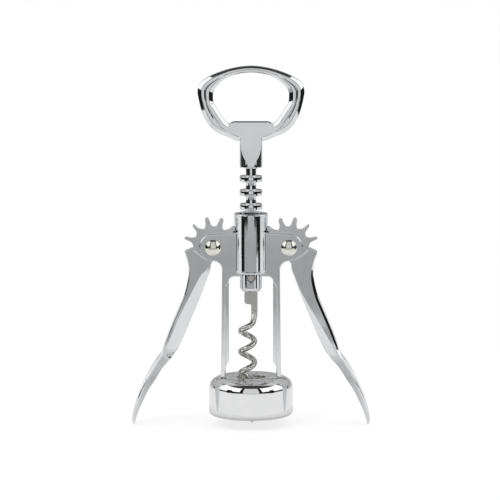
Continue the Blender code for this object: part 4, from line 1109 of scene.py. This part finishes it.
def make_floor():
    """A pale floor, nearly white to the camera, that keeps the object's shadow and shows white in metal."""
    builder = bmesh.new()
    bmesh.ops.create_circle(builder, cap_ends=True, segments=FLOOR_STEPS, radius=FLOOR_RADIUS,
                            matrix=Matrix.Translation((0, 0, -FLOOR_DROP)))
    floor = new_object("floor", builder)
    material = bpy.data.materials.new("floor")
    tree = emptied_tree(material)
    pale = add(tree, "ShaderNodeBsdfDiffuse", {"Color": FLOOR_COLOUR}).outputs["BSDF"]
    rays = add(tree, "ShaderNodeLightPath").outputs
    metal = calculated(tree, "MAXIMUM", rays["Is Glossy Ray"], rays["Is Transmission Ray"])
    light = glow(tree, ranged(tree, metal, WHITE_LEVEL, FLOOR_IN_METAL))
    view = calculated(tree, "MULTIPLY", rays["Is Camera Ray"], FLOOR_IN_VIEW_SHARE)
    seen = calculated(tree, "MAXIMUM", metal, view)
    surface = add(tree, "ShaderNodeMixShader", {"Fac": seen, 1: pale, 2: light}).outputs["Shader"]
    add(tree, "ShaderNodeOutputMaterial", {"Surface": surface})
    floor.data.materials.append(material)


def make_world():
    world = bpy.data.worlds.new("studio")
    bpy.context.scene.world = world
    tree = emptied_tree(world)
    metal = add(tree, "ShaderNodeLightPath").outputs["Is Glossy Ray"]
    level = ranged(tree, metal, WHITE_LEVEL, SKY_IN_METAL)
    sky = add(tree, "ShaderNodeBackground", {"Color": WHITE, "Strength": level}).outputs["Background"]
    add(tree, "ShaderNodeOutputWorld", {"Surface": sky})


def make_lamp(name, place, watts):
    lamp = bpy.data.lights.new(name, "AREA")
    lamp.energy = watts
    lamp.size = LAMP_SIZE
    holder = bpy.data.objects.new(name, lamp)
    holder.location = place
    holder.rotation_euler = Vector(place).to_track_quat("Z", "Y").to_euler()
    holder.visible_glossy = False
    bpy.context.scene.collection.objects.link(holder)


def make_camera():
    camera = bpy.data.objects.new("camera", bpy.data.cameras.new("camera"))
    camera.data.sensor_width = SENSOR_WIDTH
    camera.data.lens = CAMERA_LENS
    camera.location = (CAMERA_SIDE, -CAMERA_DISTANCE, CAMERA_HEIGHT)
    camera.rotation_euler = (pi / 2 - CAMERA_PITCH, 0, 0)
    bpy.context.scene.collection.objects.link(camera)
    bpy.context.scene.camera = camera


def main():
    chrome = polished_metal("chromed_casting_look", **CASTING_FINISH)
    top_waves = (BELL_TOP - BELL_WAVE_RUNOUT, BELL_TOP, BELL_WAVE_DEPTH)
    bright = polished_metal("chromed_bell_look", **BELL_FINISH, waves=top_waves)
    nickel = polished_metal("nickel_rivet_look", **RIVET_FINISH)
    steel = worm_steel()
    dress(make_frame(), "frame_body", chrome)
    dress(make_bell(), "bell", bright)
    dress(make_guide_ring(), "bottle_guide_ring", white_nylon())
    dress(make_rack(), "rack", chrome)
    dress(make_handle(), "opener_handle", chrome)
    dress(make_ferrule(), "worm_ferrule", chrome)
    dress(make_pin(), "worm_pin", steel)
    dress(make_worm(), "worm", steel)
    for side, sign in SIDES.items():
        dress(make_lever(sign), f"{side}_lever", chrome)
        dress(make_rivet(sign), f"{side}_pivot_rivet", nickel)
    make_cards()
    make_floor()
    make_world()
    for name, (place, watts) in LAMPS.items():
        make_lamp(name, place, watts)
    make_camera()
    bpy.context.scene.view_settings.view_transform = "Standard"


main()
